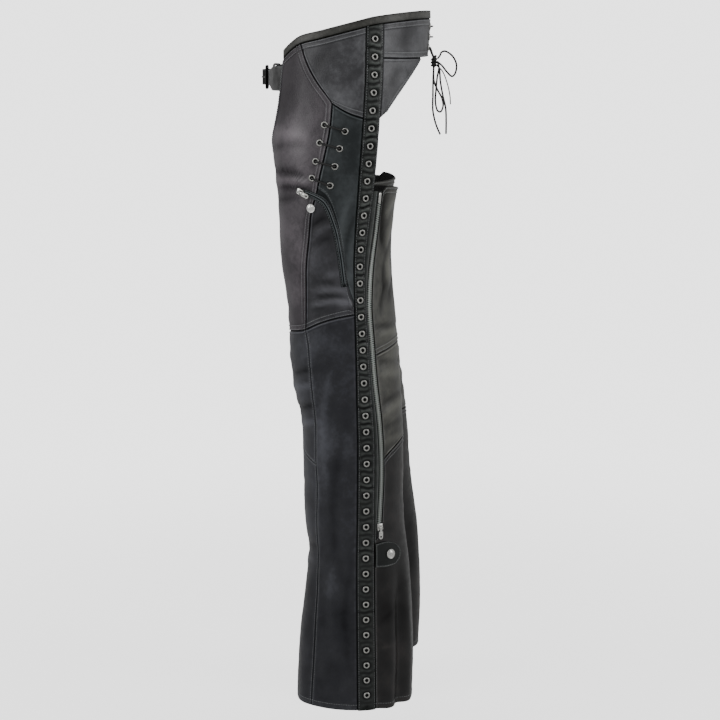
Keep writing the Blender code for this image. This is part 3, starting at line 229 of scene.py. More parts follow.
# The tab's outline: heights where it leaves the strip, points along its top and bottom, its rounded end
TAB_START = (-820.5, -857.0)
TAB_TOP = (54, -818.5)
TAB_BOTTOM = (54, -858)
TAB_END = ((69, -856), (76, -848), (76.5, -838), (73, -829.5), (67, -823.5))

# Creases pressed into the leather, placed one by one
CREASES = (
    # y,    z,    turn, half length, half width, depth; seen from the side
    (-88,  -262,   -8,   26,   4.0,  -1.6),
    (-84,  -274,    6,   30,   5.0,   1.1),
    (-80,  -283,   -4,   22,   3.5,  -1.5),
    (-92,  -300,   14,   20,   4.5,  -0.9),
    (-96,  -222,   10,   28,   6.0,  -0.9),
    (-90,  -205,   -6,   30,   7.0,   0.7),
    (-46,  -330,   38,   16,   4.0,  -1.1),
    (-36,  -341,   30,   18,   4.5,   1.0),
    (-40,  -358,   24,   14,   4.0,  -0.8),
    (-30,  -452,    8,   26,   3.6,   1.5),
    (-34,  -443,    5,   28,   3.2,  -1.1),
    (-26,  -433,    3,   24,   4.0,   1.1),
    (-38,  -421,   -4,   22,   4.0,  -0.8),
    (-20,  -408,    6,   18,   4.5,   0.8),
    (-2,   -452,    2,   14,   3.4,   1.4),
    (-44,  -462,   10,   14,   3.0,  -1.0),
    (-8,   -340,   82,   40,   5.0,   0.9),
    (0,    -372,   84,   44,   4.5,  -0.8),
    (54,   -330,   88,   46,   3.4,  -2.0),
    (62,   -372,   86,   50,   4.4,   1.5),
    (57,   -398,   84,   40,   3.2,  -1.6),
    (68,   -428,   70,   26,   4.0,  -1.3),
    (52,   -446,   80,   22,   3.2,  -1.3),
    (62,   -312,   60,   18,   4.0,   1.2),
    (62,   -492,   -8,   22,   4.0,  -0.9),
    (66,   -503,   -2,   24,   4.0,   0.7),
    (64,   -548,  -14,   24,   5.0,  -0.8),
    (66,   -566,  -10,   22,   5.0,   0.7),
    (70,   -600,   22,   24,   4.5,  -0.9),
    (66,   -618,   28,   26,   5.0,   0.8),
    (70,   -640,   20,   20,   4.0,  -0.8),
    (68,   -664,   10,   22,   4.5,   0.7),
    (-70,  -560,   24,   18,   4.5,  -1.3),
    (-72,  -585,   18,   20,   5.0,   1.1),
    (-66,  -616,   32,   18,   4.5,  -1.4),
    (-62,  -640,   28,   16,   5.0,   1.0),
    (-62,  -835,   12,   20,   5.0,  -0.7),
    (-60,  -858,    8,   22,   5.0,   0.5),
    (-20,  -905,   86,   80,   7.0,   0.5),
    (4,    -930,   88,   90,   6.0,  -0.5),
    (-30,  -640,   87,   90,   7.0,   0.8),
    (-12,  -760,   89,  110,   8.0,  -0.7),
    (58,   -938,   40,   14,   3.6,  -0.4),
    (60,   -985,   12,   12,   3.4,   0.4),
    (10,   -118,   30,   22,   7.0,  -0.5),
    (-40,  -95,    60,   24,   8.0,  -0.5),
    (86,   -62,    80,   18,   7.0,  -0.6),
    (70,   -118,   64,   16,   5.0,  -0.6),
)
CREASES_FRONT = (
    # angle, z,    turn, half length, half width, depth; round the front, the back and the inseam
    (-110,  -262,    0,   34,   6.0,  -0.8),
    (-118,  -276,    4,   30,   6.0,   0.7),
    (-100,  -292,   -6,   30,   5.0,  -0.6),
    (-140,  -330,  -14,   26,   6.0,  -0.6),
    (-100,  -470,    4,   34,   5.0,  -0.8),
    (-96,   -488,    0,   36,   5.0,   0.7),
    (-104,  -530,   -3,   36,   5.0,  -0.8),
    (-98,   -548,    2,   34,   5.5,   0.8),
    (-110,  -572,    8,   28,   5.0,  -0.7),
    (-84,   -604,   -6,   26,   5.0,  -0.6),
    (-112,  -640,   -6,   28,   6.0,   0.6),
    (-95,   -742,    3,   30,   6.0,  -0.6),
    (-100,  -848,    0,   34,   6.0,  -0.8),
    (-96,   -868,    4,   32,   6.0,   0.7),
    (-150,  -600,   20,   26,   6.0,  -0.6),
    (100,   -350,   80,   44,   6.0,  -0.7),
    (124,   -380,   86,   50,   6.0,   0.6),
    (96,    -500,    2,   32,   5.0,  -1.0),
    (104,   -520,    0,   34,   5.0,   0.8),
    (98,    -548,    6,   34,   5.0,  -1.0),
    (106,   -572,   -4,   32,   5.0,   0.8),
    (100,   -600,    0,   34,   5.0,  -0.9),
    (92,    -628,    8,   28,   5.0,  -0.7),
    (120,   -652,    4,   28,   5.0,   0.6),
    (150,   -560,  -14,   24,   6.0,  -0.7),
    (100,   -740,    0,   32,   6.0,  -0.6),
    (96,    -780,    6,   30,   6.0,   0.6),
    (160,   -820,   14,   26,   6.0,  -0.6),
    (98,    -70,    86,   20,   7.0,  -0.2),
)

# Patches painted lighter or darker than the rest of their panel: partly rubbed leather, partly painted light
RUBBED_AND_PAINTED_LIGHT = (
    # y,    z,    half width, half height, change; seen from the side
    (-72,  -230,   42,   55,   0.20),
    (-75,  -135,   40,   45,  -0.16),
    (-92,  -376,   30,   70,   0.08),
    (-30,  -155,   34,   40,   0.13),
    (62,    -85,   40,   35,   0.14),
    (-30,  -415,   30,   40,   0.10),
    # A painted highlight along the strip's front edge
    (-3,   -395,   14,   60,   0.34),
    (68,   -520,   26,   60,   0.20),
    (58,   -331,   20,   40,  -0.08),
    # Painted shade: these three darken the lower leg near the hem
    (-40,  -870,   40,   60,  -0.15),
    (-46,  -995,   60,   90,  -0.22),
    (80,   -900,   50,   80,  -0.13),
)


def curve_at(table, values, at):
    """Cubic values through rows of (knot, value), for an array of places; knots rise or fall."""
    knots, values = np.asarray(table, float), np.asarray(values, float)
    if knots[0] > knots[-1]:
        knots, values = knots[::-1], values[::-1]
    at = np.asarray(at, float)
    low, high = np.arange(len(knots)) - 1, np.arange(len(knots)) + 1
    low[0], high[-1] = 0, len(knots) - 1
    slopes = (values[high] - values[low]) / (knots[high] - knots[low])
    index = np.searchsorted(knots[1:-1], at, side="left")
    span = knots[index + 1] - knots[index]
    u = np.clip((at - knots[index]) / span, 0.0, 1.0)
    return ((2 * u ** 3 - 3 * u ** 2 + 1) * values[index] + (u ** 3 - 2 * u ** 2 + u) * span * slopes[index]
            + (3 * u ** 2 - 2 * u ** 3) * values[index + 1] + (u ** 3 - u ** 2) * span * slopes[index + 1])


def section(z):
    front, back, outer, inner = (curve_at(SECTIONS[:, 0], SECTIONS[:, index], z) for index in (1, 2, 3, 4))
    return 0.5 * (outer + inner), 0.5 * (front + back), 0.5 * (outer - inner), 0.5 * (back - front)


def turn_from(centre, angle):
    """The angle counted from a line up the leg, from -180 to 180."""
    return (angle - centre + 180.0) % 360.0 - 180.0


def fold_depth(angle, z):
    depth = np.zeros(np.broadcast(angle, z).shape)
    for start, full, centre, half_width, push in FOLDS:
        share = np.clip((start - z) / (start - full), 0.0, 1.0)
        gentle = push * share * share * (3.0 - 2.0 * share)
        depth += gentle * np.exp(-(turn_from(centre, angle) / half_width) ** 2)
    return depth


def base_point(angle, z):
    """Points of the plain skin, shape (..., 3)."""
    angle, z = np.broadcast_arrays(np.asarray(angle, float), np.asarray(z, float))
    cx, cy, rx, ry = section(z)
    cosine, sine = np.cos(np.radians(angle)), np.sin(np.radians(angle))
    out_x, out_y = cosine / rx, sine / ry
    depth = fold_depth(angle, z) / np.hypot(out_x, out_y)
    return np.stack((cx + rx * cosine + out_x * depth, cy + ry * sine + out_y * depth, z), axis=-1)


def around_leg(angle, z):
    """The skin's run round the leg over one degree."""
    return base_point(np.add(angle, 0.5), z) - base_point(np.subtract(angle, 0.5), z)


def skin_normal(angle, z):
    upward = base_point(angle, np.add(z, 1.0)) - base_point(angle, np.subtract(z, 1.0))
    normal = np.cross(around_leg(angle, z), upward)
    return normal / np.linalg.norm(normal, axis=-1, keepdims=True)


def skin(angle, z, lift=0.0):
    """Points on the leather's face, lifted along its normal."""
    return base_point(angle, z) + skin_normal(angle, z) * np.asarray(lift)[..., None]


def plain_grid(grid):
    """Points of the plain skin for a grid of (angle, z)."""
    return base_point(grid[..., 0], grid[..., 1])


def grid_normals(grid):
    return skin_normal(grid[..., 0], grid[..., 1])


def side(y, z):
    """Skin place, as (angle, z), of a point seen from the side."""
    _, cy, _, ry = section(z)
    return np.degrees(np.arcsin(np.clip((y - cy) / ry, -1.0, 1.0))), z


def facing(x, z, back=False):
    cx, _, rx, _ = section(z)
    angle = np.degrees(np.arccos(np.clip((x - cx) / rx, -1.0, 1.0)))
    return (angle if back else -angle), z


def strip_centre(z):
    return curve_at(STRIP[:, 0], STRIP[:, 1], z)


def strip_half_width(z):
    return curve_at(STRIP[:, 0], STRIP[:, 2], z)


def strip_line(z, share):
    """The side strip's centre (0) or its edges (-1, 1), as (angle, z)."""
    return side(strip_centre(z) + share * strip_half_width(z), z)


def strip_front(z):
    """A point on the strip's front edge, as (y, z)."""
    return float(strip_centre(z) - strip_half_width(z)), z


def zip_line(z, offset=0.0):
    return side(curve_at(ZIP[:, 0], ZIP[:, 1], z) + offset, z)


def eyelet_z(index):
    """Heights of the side strip's eyelets, counted from the top; halves lie between eyelets."""
    return EYELET_TOP_Z - EYELET_PITCH * index + 0.5 * EYELET_CLOSING * index ** 2


def run_along(path):
    """How far each point of a path is from the path's start."""
    return np.concatenate(([0.0], np.cumsum(np.linalg.norm(np.diff(path, axis=0), axis=-1))))


def cumulative(points, axis):
    """How far each point of a grid is from the grid's first border, along one axis."""
    run = np.linalg.norm(np.diff(points, axis=axis), axis=-1)
    pad = [(0, 0), (0, 0)]
    pad[axis] = (1, 0)
    return np.pad(np.cumsum(run, axis=axis), pad)


def border_distance(points):
    """How far each point of a grid is from the grid's nearest border."""
    across, up = cumulative(points, 1), cumulative(points, 0)
    return np.minimum.reduce((across, across[:, -1:] - across, up, up[-1:] - up))


def line(knots, count):
    """Points at equal steps along a smooth line through (angle, z) knots, shape (count + 1, 2)."""
    knots = np.array([(float(angle), float(z)) for angle, z in knots])
    scale = np.linalg.norm(around_leg(knots[:-1, 0], knots[:-1, 1]), axis=-1)
    run = np.hypot(np.diff(knots[:, 0]) * scale, np.diff(knots[:, 1]))
    stretch = np.concatenate(([0.0], np.cumsum(run)))
    at = np.linspace(0.0, stretch[-1], count + 1)
    return np.stack((curve_at(stretch, knots[:, 0], at), curve_at(stretch, knots[:, 1], at)), axis=-1)


def side_line(points, count):
    return line([side(*point) for point in points], count)


def edge_rows(edge, bottom, top, count):
    """Points up an edge that gives (angle, z) for a height."""
    return np.stack(edge(np.linspace(bottom, top, count + 1)), axis=-1)


def strip_rows(share, bottom, top, count):
    """Points up the strip's front edge (-1) or rear edge (1)."""
    return edge_rows(lambda z: strip_line(z, share), bottom, top, count)


def join(*lines):
    return np.concatenate([lines[0]] + [part[1:] for part in lines[1:]])


def waist_knots(drop):
    knots = [facing(FRONT_EDGE[0][0], -80.0)] + [side(y, z) for y, z in WAIST_LINE]
    knots.append(facing(YOKE_END_X, -20.0, back=True))
    return np.array([(float(angle), z - drop) for angle, z in knots])


def waist_stretches(drop, counts):
    """The waist line in stretches: front thigh, hip yoke, strip, back yoke."""
    knots = waist_knots(drop)
    hip = side(*HIP_SEAM[0])[0]
    stops = (knots[0, 0], hip, strip_line(-45.0, -1)[0], strip_line(-45.0, 1)[0], knots[-1, 0])
    stretches = []
    for first, last, count in zip(stops, stops[1:], counts):
        angles = np.linspace(first, last, count + 1)
        stretches.append(np.stack((angles, curve_at(knots[:, 0], knots[:, 1], angles)), axis=-1))
    return stretches


def coons(bottom, right, top, left):
    """A grid (rows, columns, 2) between four lines; rows run up, columns run round."""
    u = np.linspace(0.0, 1.0, len(bottom))[None, :, None]
    v = np.linspace(0.0, 1.0, len(left))[:, None, None]
    return ((1 - v) * bottom[None] + v * top[None] + (1 - u) * left[:, None] + u * right[:, None]
            - (1 - u) * (1 - v) * bottom[0] - u * (1 - v) * bottom[-1]
            - (1 - u) * v * top[0] - u * v * top[-1])


# ---------------------------------------------------------------- relief of the leather

# How an edge is made: rows of (distance from the seam, height of the leather), and where stitches run.
# A distance below 0 is tucked under the neighbour.
TUCK = ((-3.0, -2.4), (-0.4, -2.3), (0.0, -1.5))
FLAT_TUCK = ((-3.0, -2.4), (-0.4, -2.3), (0.0, -1.0))
EDGES = {
    "lap": (((0.0, -1.1), (0.5, -0.2), (1.2, 0.45), (2.0, 0.35), (2.9, -0.1), (4.6, 0.0), (6.5, -0.1),
             (7.3, 0.45), (8.1, 0.35), (9.0, -0.35), (11.5, 0.0)), (2.0, 8.1)),
    "under": (TUCK + ((0.8, -1.2), (1.8, -0.5), (2.8, 0.5), (3.9, 0.4), (5.0, -0.15), (7.5, 0.0)), ()),
    "strip": (((-3.0, -1.4), (-0.4, -1.35), (0.0, -1.05), (0.5, -0.5), (1.3, 0.0), (3.0, 0.15), (5.0, 0.0)),
              ()),
    "row": (((0.0, -1.2), (0.4, -0.3), (1.0, 0.45), (2.3, -0.1), (3.4, 0.4), (5.5, 0.0)), (2.3,)),
    "hem": (((0.0, -0.8), (0.4, -0.1), (1.2, 0.4), (2.2, 0.35), (3.0, -0.1), (7.0, -0.1), (7.9, 0.45),
             (8.7, 0.35), (9.6, -0.35), (12.5, 0.0)), (2.2, 8.7)),
    "flat": (((0.0, -0.5), (0.4, -0.15), (1.1, 0.3), (2.4, 0.0), (3.6, 0.35), (6.0, 0.0)), (2.4,)),
    "flat_under": (FLAT_TUCK + ((0.4, -0.45), (1.1, 0.1), (2.4, -0.05), (3.6, 0.25), (6.0, 0.0)), (2.4,)),
    "turned": (((0.0, -0.6), (0.5, 0.0), (1.4, 0.2), (7.6, 0.15), (8.7, -0.1), (9.8, 0.1), (12.5, 0.0)),
               (8.7,)),
    "plain": (((0.0, -0.7), (0.4, -0.15), (1.2, 0.0)), ()),
    "pocket": (((0.0, -0.4), (4.6, -0.4), (6.0, -0.5), (7.4, 0.5), (9.0, 0.4), (10.0, -0.35), (11.0, 0.3),
                (13.0, 0.0)), (10.0,)),
    "roll": (((0.0, -0.5), (0.4, 0.3), (1.4, 0.8), (3.4, 1.0), (6.0, 1.0)), ()),
    "rolled_under": (TUCK + ((0.6, -0.5), (1.6, 0.6), (3.2, 1.0), (6.0, 1.0)), ()),
}
# Side of a mesh cell of the panels
CELL = 4.2
# A distance beyond every crease
FAR_AWAY = 999.0
# Millimetres round the leg for one degree, as the front's and the back's creases count them
DEGREE_RUN = 1.7


def crease_relief(angle, z):
    """The pressed creases, in millimetres out of the skin."""
    points = base_point(angle, z)
    relief = np.zeros(points.shape[:-1])
    outer = points[..., 0] > section(z)[0]
    for y, level, turn, half_length, half_width, depth in CREASES:
        across = np.where(outer, points[..., 1] - y, FAR_AWAY)
        relief += crease(across, z - level, turn, half_length, half_width, depth)
    for centre, level, turn, half_length, half_width, depth in CREASES_FRONT:
        across = turn_from(centre, angle) * DEGREE_RUN
        relief += crease(across, z - level, turn, half_length, half_width, depth)
    return relief


def rubbing_and_painted_light(points):
    """How much lighter or darker the leather is painted at points in millimetres than the rest of its panel,
    from rubbing and from painted highlight and shade.
    """
    change = np.zeros(points.shape[:-1])
    for y, z, half_width, half_height, amount in RUBBED_AND_PAINTED_LIGHT:
        across, up = (points[..., 1] - y) / half_width, (points[..., 2] - z) / half_height
        change += amount * np.exp(-across ** 2 - up ** 2)
    return change


def crease(across, up, turn, half_length, half_width, depth):
    cosine, sine = math.cos(math.radians(turn)), math.sin(math.radians(turn))
    along, over = across * cosine + up * sine, up * cosine - across * sine
    bow = 0.12 * half_length * (1.0 - (along / half_length) ** 2)
    return depth * np.exp(-((over - bow) / half_width) ** 2) * np.exp(-(along / half_length) ** 4)


def soft_noise(points, size, seed):
    """Smooth noise of about -1 to 1 over points in millimetres."""
    flat = points.reshape(-1, 3) / size
    values = [noise.noise(Vector((x + seed, y - seed, z))) for x, y, z in flat.tolist()]
    return np.array(values).reshape(points.shape[:-1])


def undulation(points, leg):
    """The uneven lie of worn leather: broad swells and finer ripples."""
    seed = 3.7 if leg > 0 else 11.3
    return 0.8 * soft_noise(points, 46.0, seed) + 0.35 * soft_noise(points, 15.0, seed + 5.0)


def resampled(grid, marks_low, marks_high, cell):
    """The grid's rows re-cut at set distances from both ends, with even cells between."""
    stretch = cumulative(plain_grid(grid), 1)
    mean = stretch[:, -1].mean()
    count = max(int(round((mean - marks_low[-1] - marks_high[-1]) / cell)), 1)
    rows = []
    for line_points, length in zip(grid, stretch):
        total = length[-1]
        squeeze = min(1.0, 0.8 * total / (marks_low[-1] + marks_high[-1]))
        low, high = np.array(marks_low) * squeeze, np.array(marks_high) * squeeze
        middle = np.linspace(low[-1], total - high[-1], count + 1)[1:-1]
        at = np.concatenate((low, middle, (total - high)[::-1]))
        rows.append(np.stack([np.interp(at, length, line_points[:, axis]) for axis in (0, 1)], axis=-1))
    return np.array(rows)


def grid_faces(index):
    """Four-sided faces between the corner numbers of a grid."""
    return np.stack((index[:-1, :-1], index[:-1, 1:], index[1:, 1:], index[1:, :-1]), axis=-1).reshape(-1, 4)


def wall_faces(rows, columns):
    """Faces of a closed wall: outer grid first, then inner grid."""
    index = np.arange(rows * columns).reshape(rows, columns)
    under = rows * columns
    quads = grid_faces(index)
    border = np.concatenate((index[0], index[1:, -1], index[-1, -2::-1], index[-2:0:-1, 0]))
    after = np.roll(border, -1)
    rim = np.stack((after, border, under + border, under + after), axis=-1)
    return np.concatenate((quads, under + quads[:, ::-1], rim))


# ---------------------------------------------------------------- objects

def link(name, mesh):
    made = bpy.data.objects.new(name, mesh)
    bpy.context.scene.collection.objects.link(made)
    return made


def on_leg(points, leg):
    """The left leg's points in millimetres, moved to a leg: the right (-1) is mirrored and swings back."""
    points = np.array(points, float).reshape(-1, 3)
    if leg < 0:
        points = points * (-1.0, 1.0, 1.0)
        points[:, 1] += curve_at(SWAY[:, 0], SWAY[:, 1], points[:, 2])
    return points


def mesh_from(name, points, faces, leg=1, wear=None):
    """A mesh on a leg, from the left leg's points in millimetres."""
    points = on_leg(points, leg)
    faces = faces.tolist() if isinstance(faces, np.ndarray) else faces
    if leg < 0:
        faces = [face[::-1] for face in faces]
    mesh = bpy.data.meshes.new(name)
    mesh.from_pydata((points * MM).tolist(), [], faces)
    wear = np.full(len(points), 0.5) if wear is None else np.asarray(wear, float).ravel()
    mesh.attributes.new("wear", "FLOAT", "POINT").data.foreach_set("value", wear)
    mesh.shade_smooth()
    mesh.set_sharp_from_angle(angle=math.radians(55))
    return mesh


def finish_piece(piece, material, body=BODY, replaces=(), lined=None):
    """Gives a piece its material, body, slot and the nodes it replaces; lined is its range of inner faces."""
    piece.data.materials.clear()
    piece.data.materials.append(MATERIALS[material])
    if lined:
        piece.data.materials.append(MATERIALS["lining"])
        index = np.zeros(len(piece.data.polygons), np.int32)
        index[lined[0]:lined[1]] = 1
        piece.data.polygons.foreach_set("material_index", index)
    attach(piece, body)
    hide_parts(*replaces)


def sheet_size(grid, outer):
    """Width, length and area of a cut piece in metres, laid flat: girth by fall, or along its own edges."""
    scale = np.linalg.norm(around_leg(grid[..., 0], grid[..., 1]), axis=-1)
    girth = (grid[..., 0] - grid[..., 0].mean()) * scale.mean()
    across, up = np.diff(outer, axis=1)[:-1], np.diff(outer, axis=0)[:, :-1]
    area = float(np.linalg.norm(np.cross(across, up), axis=-1).sum()) * MM * MM
    frames = ((np.ptp(girth), np.ptp(grid[..., 1])), (cumulative(outer, 1).max(), cumulative(outer, 0).max()))
    width, length = (float(size) * MM for size in min(frames, key=np.prod))
    return width, length, max(min(area, width * length), 0.31 * width * length)


SHEETS = {}


def declare_sheet(piece, grid, outer):
    width, length, area = sheet_size(grid, outer)
    SHEETS[piece.name] = (round(width, 3), round(length, 3), round(area, 4))


STITCHES = {"left": [], "right": [], "belt": []}


def add_stitches(leg_name, path, normals, pitch):
    """Stitches along a path in millimetres: each is a centre, a direction and a normal."""
    run = run_along(path)
    count = int(run[-1] / pitch)
    if count < 1:
        return
    at = (np.arange(count) + 0.5) * run[-1] / count

    def values_at(places, rows):
        return np.stack([np.interp(places, run, rows[:, axis]) for axis in range(3)], axis=-1)

    along = values_at(at + 0.5, path) - values_at(at - 0.5, path)
    along /= np.linalg.norm(along, axis=-1, keepdims=True)
    STITCHES[leg_name].append(np.stack((values_at(at, path), along, values_at(at, normals)), axis=1))


def leather_panel(name, leg_name, leg, lines, edges, material):
    """One cut piece: a closed leather wall between four seam lines, with its edges, creases and stitches."""
    sizes = bpy.context.scene.chaps_sizes
    profiles = [EDGES[edge] for edge in edges]
    marks = [[distance for distance, _ in profile[0] if distance >= 0] for profile in profiles]
    tucks = [[distance for distance, _ in profile[0] if distance < 0] for profile in profiles]
    grid = coons(*lines)
    grid = resampled(grid, marks[3], marks[1], CELL)
    grid = resampled(grid.transpose(1, 0, 2), marks[0], marks[2], CELL).transpose(1, 0, 2)
    for number, first, second, axis in ((3, 0, 1, 1), (1, -1, -2, 1), (0, 0, 1, 0), (2, -1, -2, 0)):
        if tucks[number]:
            grid = let_out(grid, first, second, axis, tucks[number])
        else:
            grid = pulled_in(grid, first, second, axis)
    starts = [tuck[0] if tuck else 0.0 for tuck in tucks]
    angle, z = grid[..., 0], grid[..., 1]
    plain, normals = plain_grid(grid), grid_normals(grid)
    across, up = cumulative(plain, 1), cumulative(plain, 0)
    distances = (up + starts[0], across[:, -1:] - across + starts[1], up[-1:] - up + starts[2],
                 across + starts[3])
    heights = [np.interp(distance, *np.array(profile[0]).T) for distance, profile in zip(distances, profiles)]
    nearest = np.minimum.reduce(distances)
    swell = undulation(plain, leg) * np.clip(nearest / 12.0, 0.25, 1.0)
    broad = sizes.crease_depth * crease_relief(angle, z) + swell
    broad *= np.clip(0.3 + nearest / 9.0, 0.3, 1.0)
    pucker = 0.5 * soft_noise(plain, 6.0, 20.0 * leg) * np.exp(-np.abs(nearest) / 7.0)
    pucker *= np.clip(nearest / 2.0, 0.0, 1.0)
    rise = broad + pucker + strongest(heights)
    outer = plain + normals * rise[..., None]
    inner = plain + normals * np.minimum(broad - WALL, rise - 0.7)[..., None]
    # Tone from the relief: lighter on seam ridges, swells and puckers as rubbing and painted highlight,
    # darker in seam grooves, creases and folds as painted shade
    rubbed = strongest([height - profile[0][-1][1] for height, profile in zip(heights, profiles)])
    wear = 0.45 + rubbing_and_painted_light(plain) + 0.2 * broad + 0.55 * np.clip(rubbed, -1.0, 1.0) + 0.35 * pucker
    wear = np.clip(wear, 0.0, 1.0)
    points = np.concatenate((outer.reshape(-1, 3), inner.reshape(-1, 3)))
    mesh = mesh_from(leg_name + "_" + name, points, wall_faces(*angle.shape), leg,
                     np.concatenate((wear.ravel(), np.full(wear.size, 0.3))))
    cells = (angle.shape[0] - 1) * (angle.shape[1] - 1)
    piece = link(leg_name + "_" + name + "_leather", mesh)
    finish_piece(piece, material, replaces=(leg_name + "_" + name,), lined=(cells, 2 * cells))
    declare_sheet(piece, grid, outer)
    stitch_lift = normals * sizes.thread_radius * 0.5
    for number, (profile, mark, tuck) in enumerate(zip(profiles, marks, tucks)):
        for row in profile[1]:
            index = mark.index(row) + len(tuck)
            pick = ((index, slice(None)), (slice(None), -1 - index), (-1 - index, slice(None)),
                    (slice(None), index))[number]
            add_stitches(leg_name, (outer + stitch_lift)[pick], normals[pick], sizes.stitch_pitch)


def strongest(heights):
    """The deepest of several heights where one is below 0, and the tallest elsewhere."""
    lowest = np.minimum.reduce(heights)
    return np.where(lowest < 0, lowest, np.maximum.reduce(heights))


def let_out(grid, first, second, axis, distances):
    """The grid with rows added beyond one border, at distances (below 0) outside it."""
    view = grid.swapaxes(0, 1) if axis == 1 else grid
    here, beside = view[first], view[second]
    gap = np.linalg.norm(plain_grid(beside) - plain_grid(here), axis=-1)
    added = [here + (here - beside) * (-distance / gap)[:, None] for distance in distances]
    view = np.concatenate((added, view) if first == 0 else (view, added[::-1]))
    return view.swapaxes(0, 1) if axis == 1 else view


def pulled_in(grid, first, second, axis):
    """The grid with one border moved in by half the seam gap."""
    grid = grid.copy()
    view = grid.swapaxes(0, 1) if axis == 1 else grid
    here, beside = view[first], view[second]
    gap = np.linalg.norm(plain_grid(beside) - plain_grid(here), axis=-1)
    view[first] = here + (beside - here) * (0.5 * SEAM_GAP / gap)[:, None]
    return grid


# ---------------------------------------------------------------- materials

def linear(hex_colour):
    """Linear colour of an sRGB hex value."""
    channels = [int(hex_colour[index:index + 2], 16) / 255.0 for index in (1, 3, 5)]
    return tuple(value / 12.92 if value <= 0.04045 else ((value + 0.055) / 1.055) ** 2.4
                 for value in channels)


def plug(node, links):
    """Sets a node's inputs; each takes a value or another node's output."""
    for name, value in links.items():
        if isinstance(value, bpy.types.NodeSocket):
            node.id_data.links.new(value, node.inputs[name])
        else:
            node.inputs[name].default_value = value


def add_node(tree, kind, links=None, **settings):
    """A node with its settings; links maps an input to a value or to another node's output."""
    made = tree.nodes.new("ShaderNode" + kind)
    for name, value in settings.items():
        setattr(made, name, value)
    plug(made, links or {})
    return made


def new_material(name):
    """A material, its tree, its shader and the Object coordinates that its patterns read."""
    made = bpy.data.materials.new(name)
    made.use_nodes = True
    tree = made.node_tree
    return made, tree, tree.nodes["Principled BSDF"], add_node(tree, "TexCoord").outputs["Object"]


def per_metre(size_mm):
    """Texture scale for a pattern of a real size on Object coordinates, which are metres."""
    return 1.0 / (size_mm * MM)


def ramp(tree, factor, *stops):
    made = add_node(tree, "ValToRGB", {"Fac": factor})
    elements = made.color_ramp.elements
    for element, (position, colour) in zip(elements, (stops[0], stops[-1])):
        element.position, element.color = position, (*colour, 1.0)
    for position, colour in stops[1:-1]:
        elements.new(position).color = (*colour, 1.0)
    return made.outputs["Color"]


def leather(name, base, light, roughness=0.42, coat=0.04):
    """Drum-dyed cowhide with a printed grain: dull black; greyer and shinier where it is rubbed and where
    ridges carry a painted highlight, darker and duller where creases and grooves carry painted shade.
    """
    made, tree, shader, place = new_material(name)
    wear = add_node(tree, "Attribute", attribute_name="wear").outputs["Fac"]

    def cloudy(size_mm, detail, rough):
        return add_node(tree, "TexNoise", {"Vector": place, "Scale": per_metre(size_mm), "Detail": detail,
                                           "Roughness": rough}).outputs["Fac"]

    def sums(operation, *terms):
        return add_node(tree, "Math", dict(enumerate(terms)), operation=operation).outputs[0]

    cloud, mottle = cloudy(60, 5.0, 0.55), cloudy(7, 4.0, 0.6)
    # Real grain is about 0.8 mm across; it is drawn at 1.7 mm so that it shows.
    grain = add_node(tree, "TexVoronoi", {"Vector": place, "Scale": per_metre(1.7),
                                          "Randomness": 1.0}).outputs["Distance"]
    pores = cloudy(2.6, 3.0, 0.65)
    blotch, speckle = sums("MULTIPLY_ADD", cloud, 0.2, -0.1), sums("MULTIPLY_ADD", mottle, 0.4, -0.2)
    uneven = sums("ADD", wear, blotch)
    spread = sums("ADD", uneven, speckle)
    # The ramp's dark end shows blotches, and the painted shade of grooves and creases
    dark_and_shaded = tuple(0.45 * value for value in base)
    # The shine drops in folds and grooves as painted shade, and rises on ridges and rubbed places
    shine = add_node(tree, "MapRange", {"Value": uneven, "From Min": 0.0, "From Max": 1.0, "To Min": 0.08,
                                        "To Max": 0.85})
    rough = add_node(tree, "MapRange", {"Value": mottle, "From Min": 0.3, "From Max": 0.7,
                                        "To Min": roughness - 0.07, "To Max": roughness + 0.09})
    coarse = add_node(tree, "Bump", {"Height": pores, "Strength": 0.30, "Distance": 0.6 * MM})
    fine = add_node(tree, "Bump", {"Height": grain, "Strength": 0.35, "Distance": 0.35 * MM,
                                   "Normal": coarse.outputs["Normal"]})
    plug(shader, {"Base Color": ramp(tree, spread, (0.08, dark_and_shaded), (0.42, base), (1.0, light)),
                  "Specular IOR Level": shine.outputs["Result"], "Roughness": rough.outputs["Result"],
                  "Normal": fine.outputs["Normal"], "Coat Weight": coat, "Coat Roughness": 0.38})
    return made


def metal(name, base, roughness, scratch=0.06):
    """Plated metal, tumbled smooth, with faint handling marks."""
    made, tree, shader, place = new_material(name)
    settings = {"Vector": place, "Scale": per_metre(1.5), "Detail": 3.0}
    marks = add_node(tree, "TexNoise", settings).outputs["Fac"]
    rough = add_node(tree, "MapRange", {"Value": marks, "To Min": roughness - scratch,
                                        "To Max": roughness + scratch})
    plug(shader, {"Roughness": rough.outputs["Result"], "Metallic": 1.0,
                  "Base Color": ramp(tree, marks, (0.3, tuple(0.9 * value for value in base)), (0.65, base))})
    return made


def cord_finish(name, base, light, size_mm, roughness, relief=0.5):
    """Waxed thread or leather lace: dull, with a fine twist across it."""
    made, tree, shader, place = new_material(name)
    twist = add_node(tree, "TexNoise", {"Vector": place, "Scale": per_metre(size_mm), "Detail": 3.0,
                                        "Roughness": 0.6}).outputs["Fac"]
    bump = add_node(tree, "Bump", {"Height": twist, "Strength": relief, "Distance": 0.3 * MM})
    plug(shader, {"Base Color": ramp(tree, twist, (0.35, base), (0.68, light)), "Roughness": roughness,
                  "Normal": bump.outputs["Normal"]})
    return made


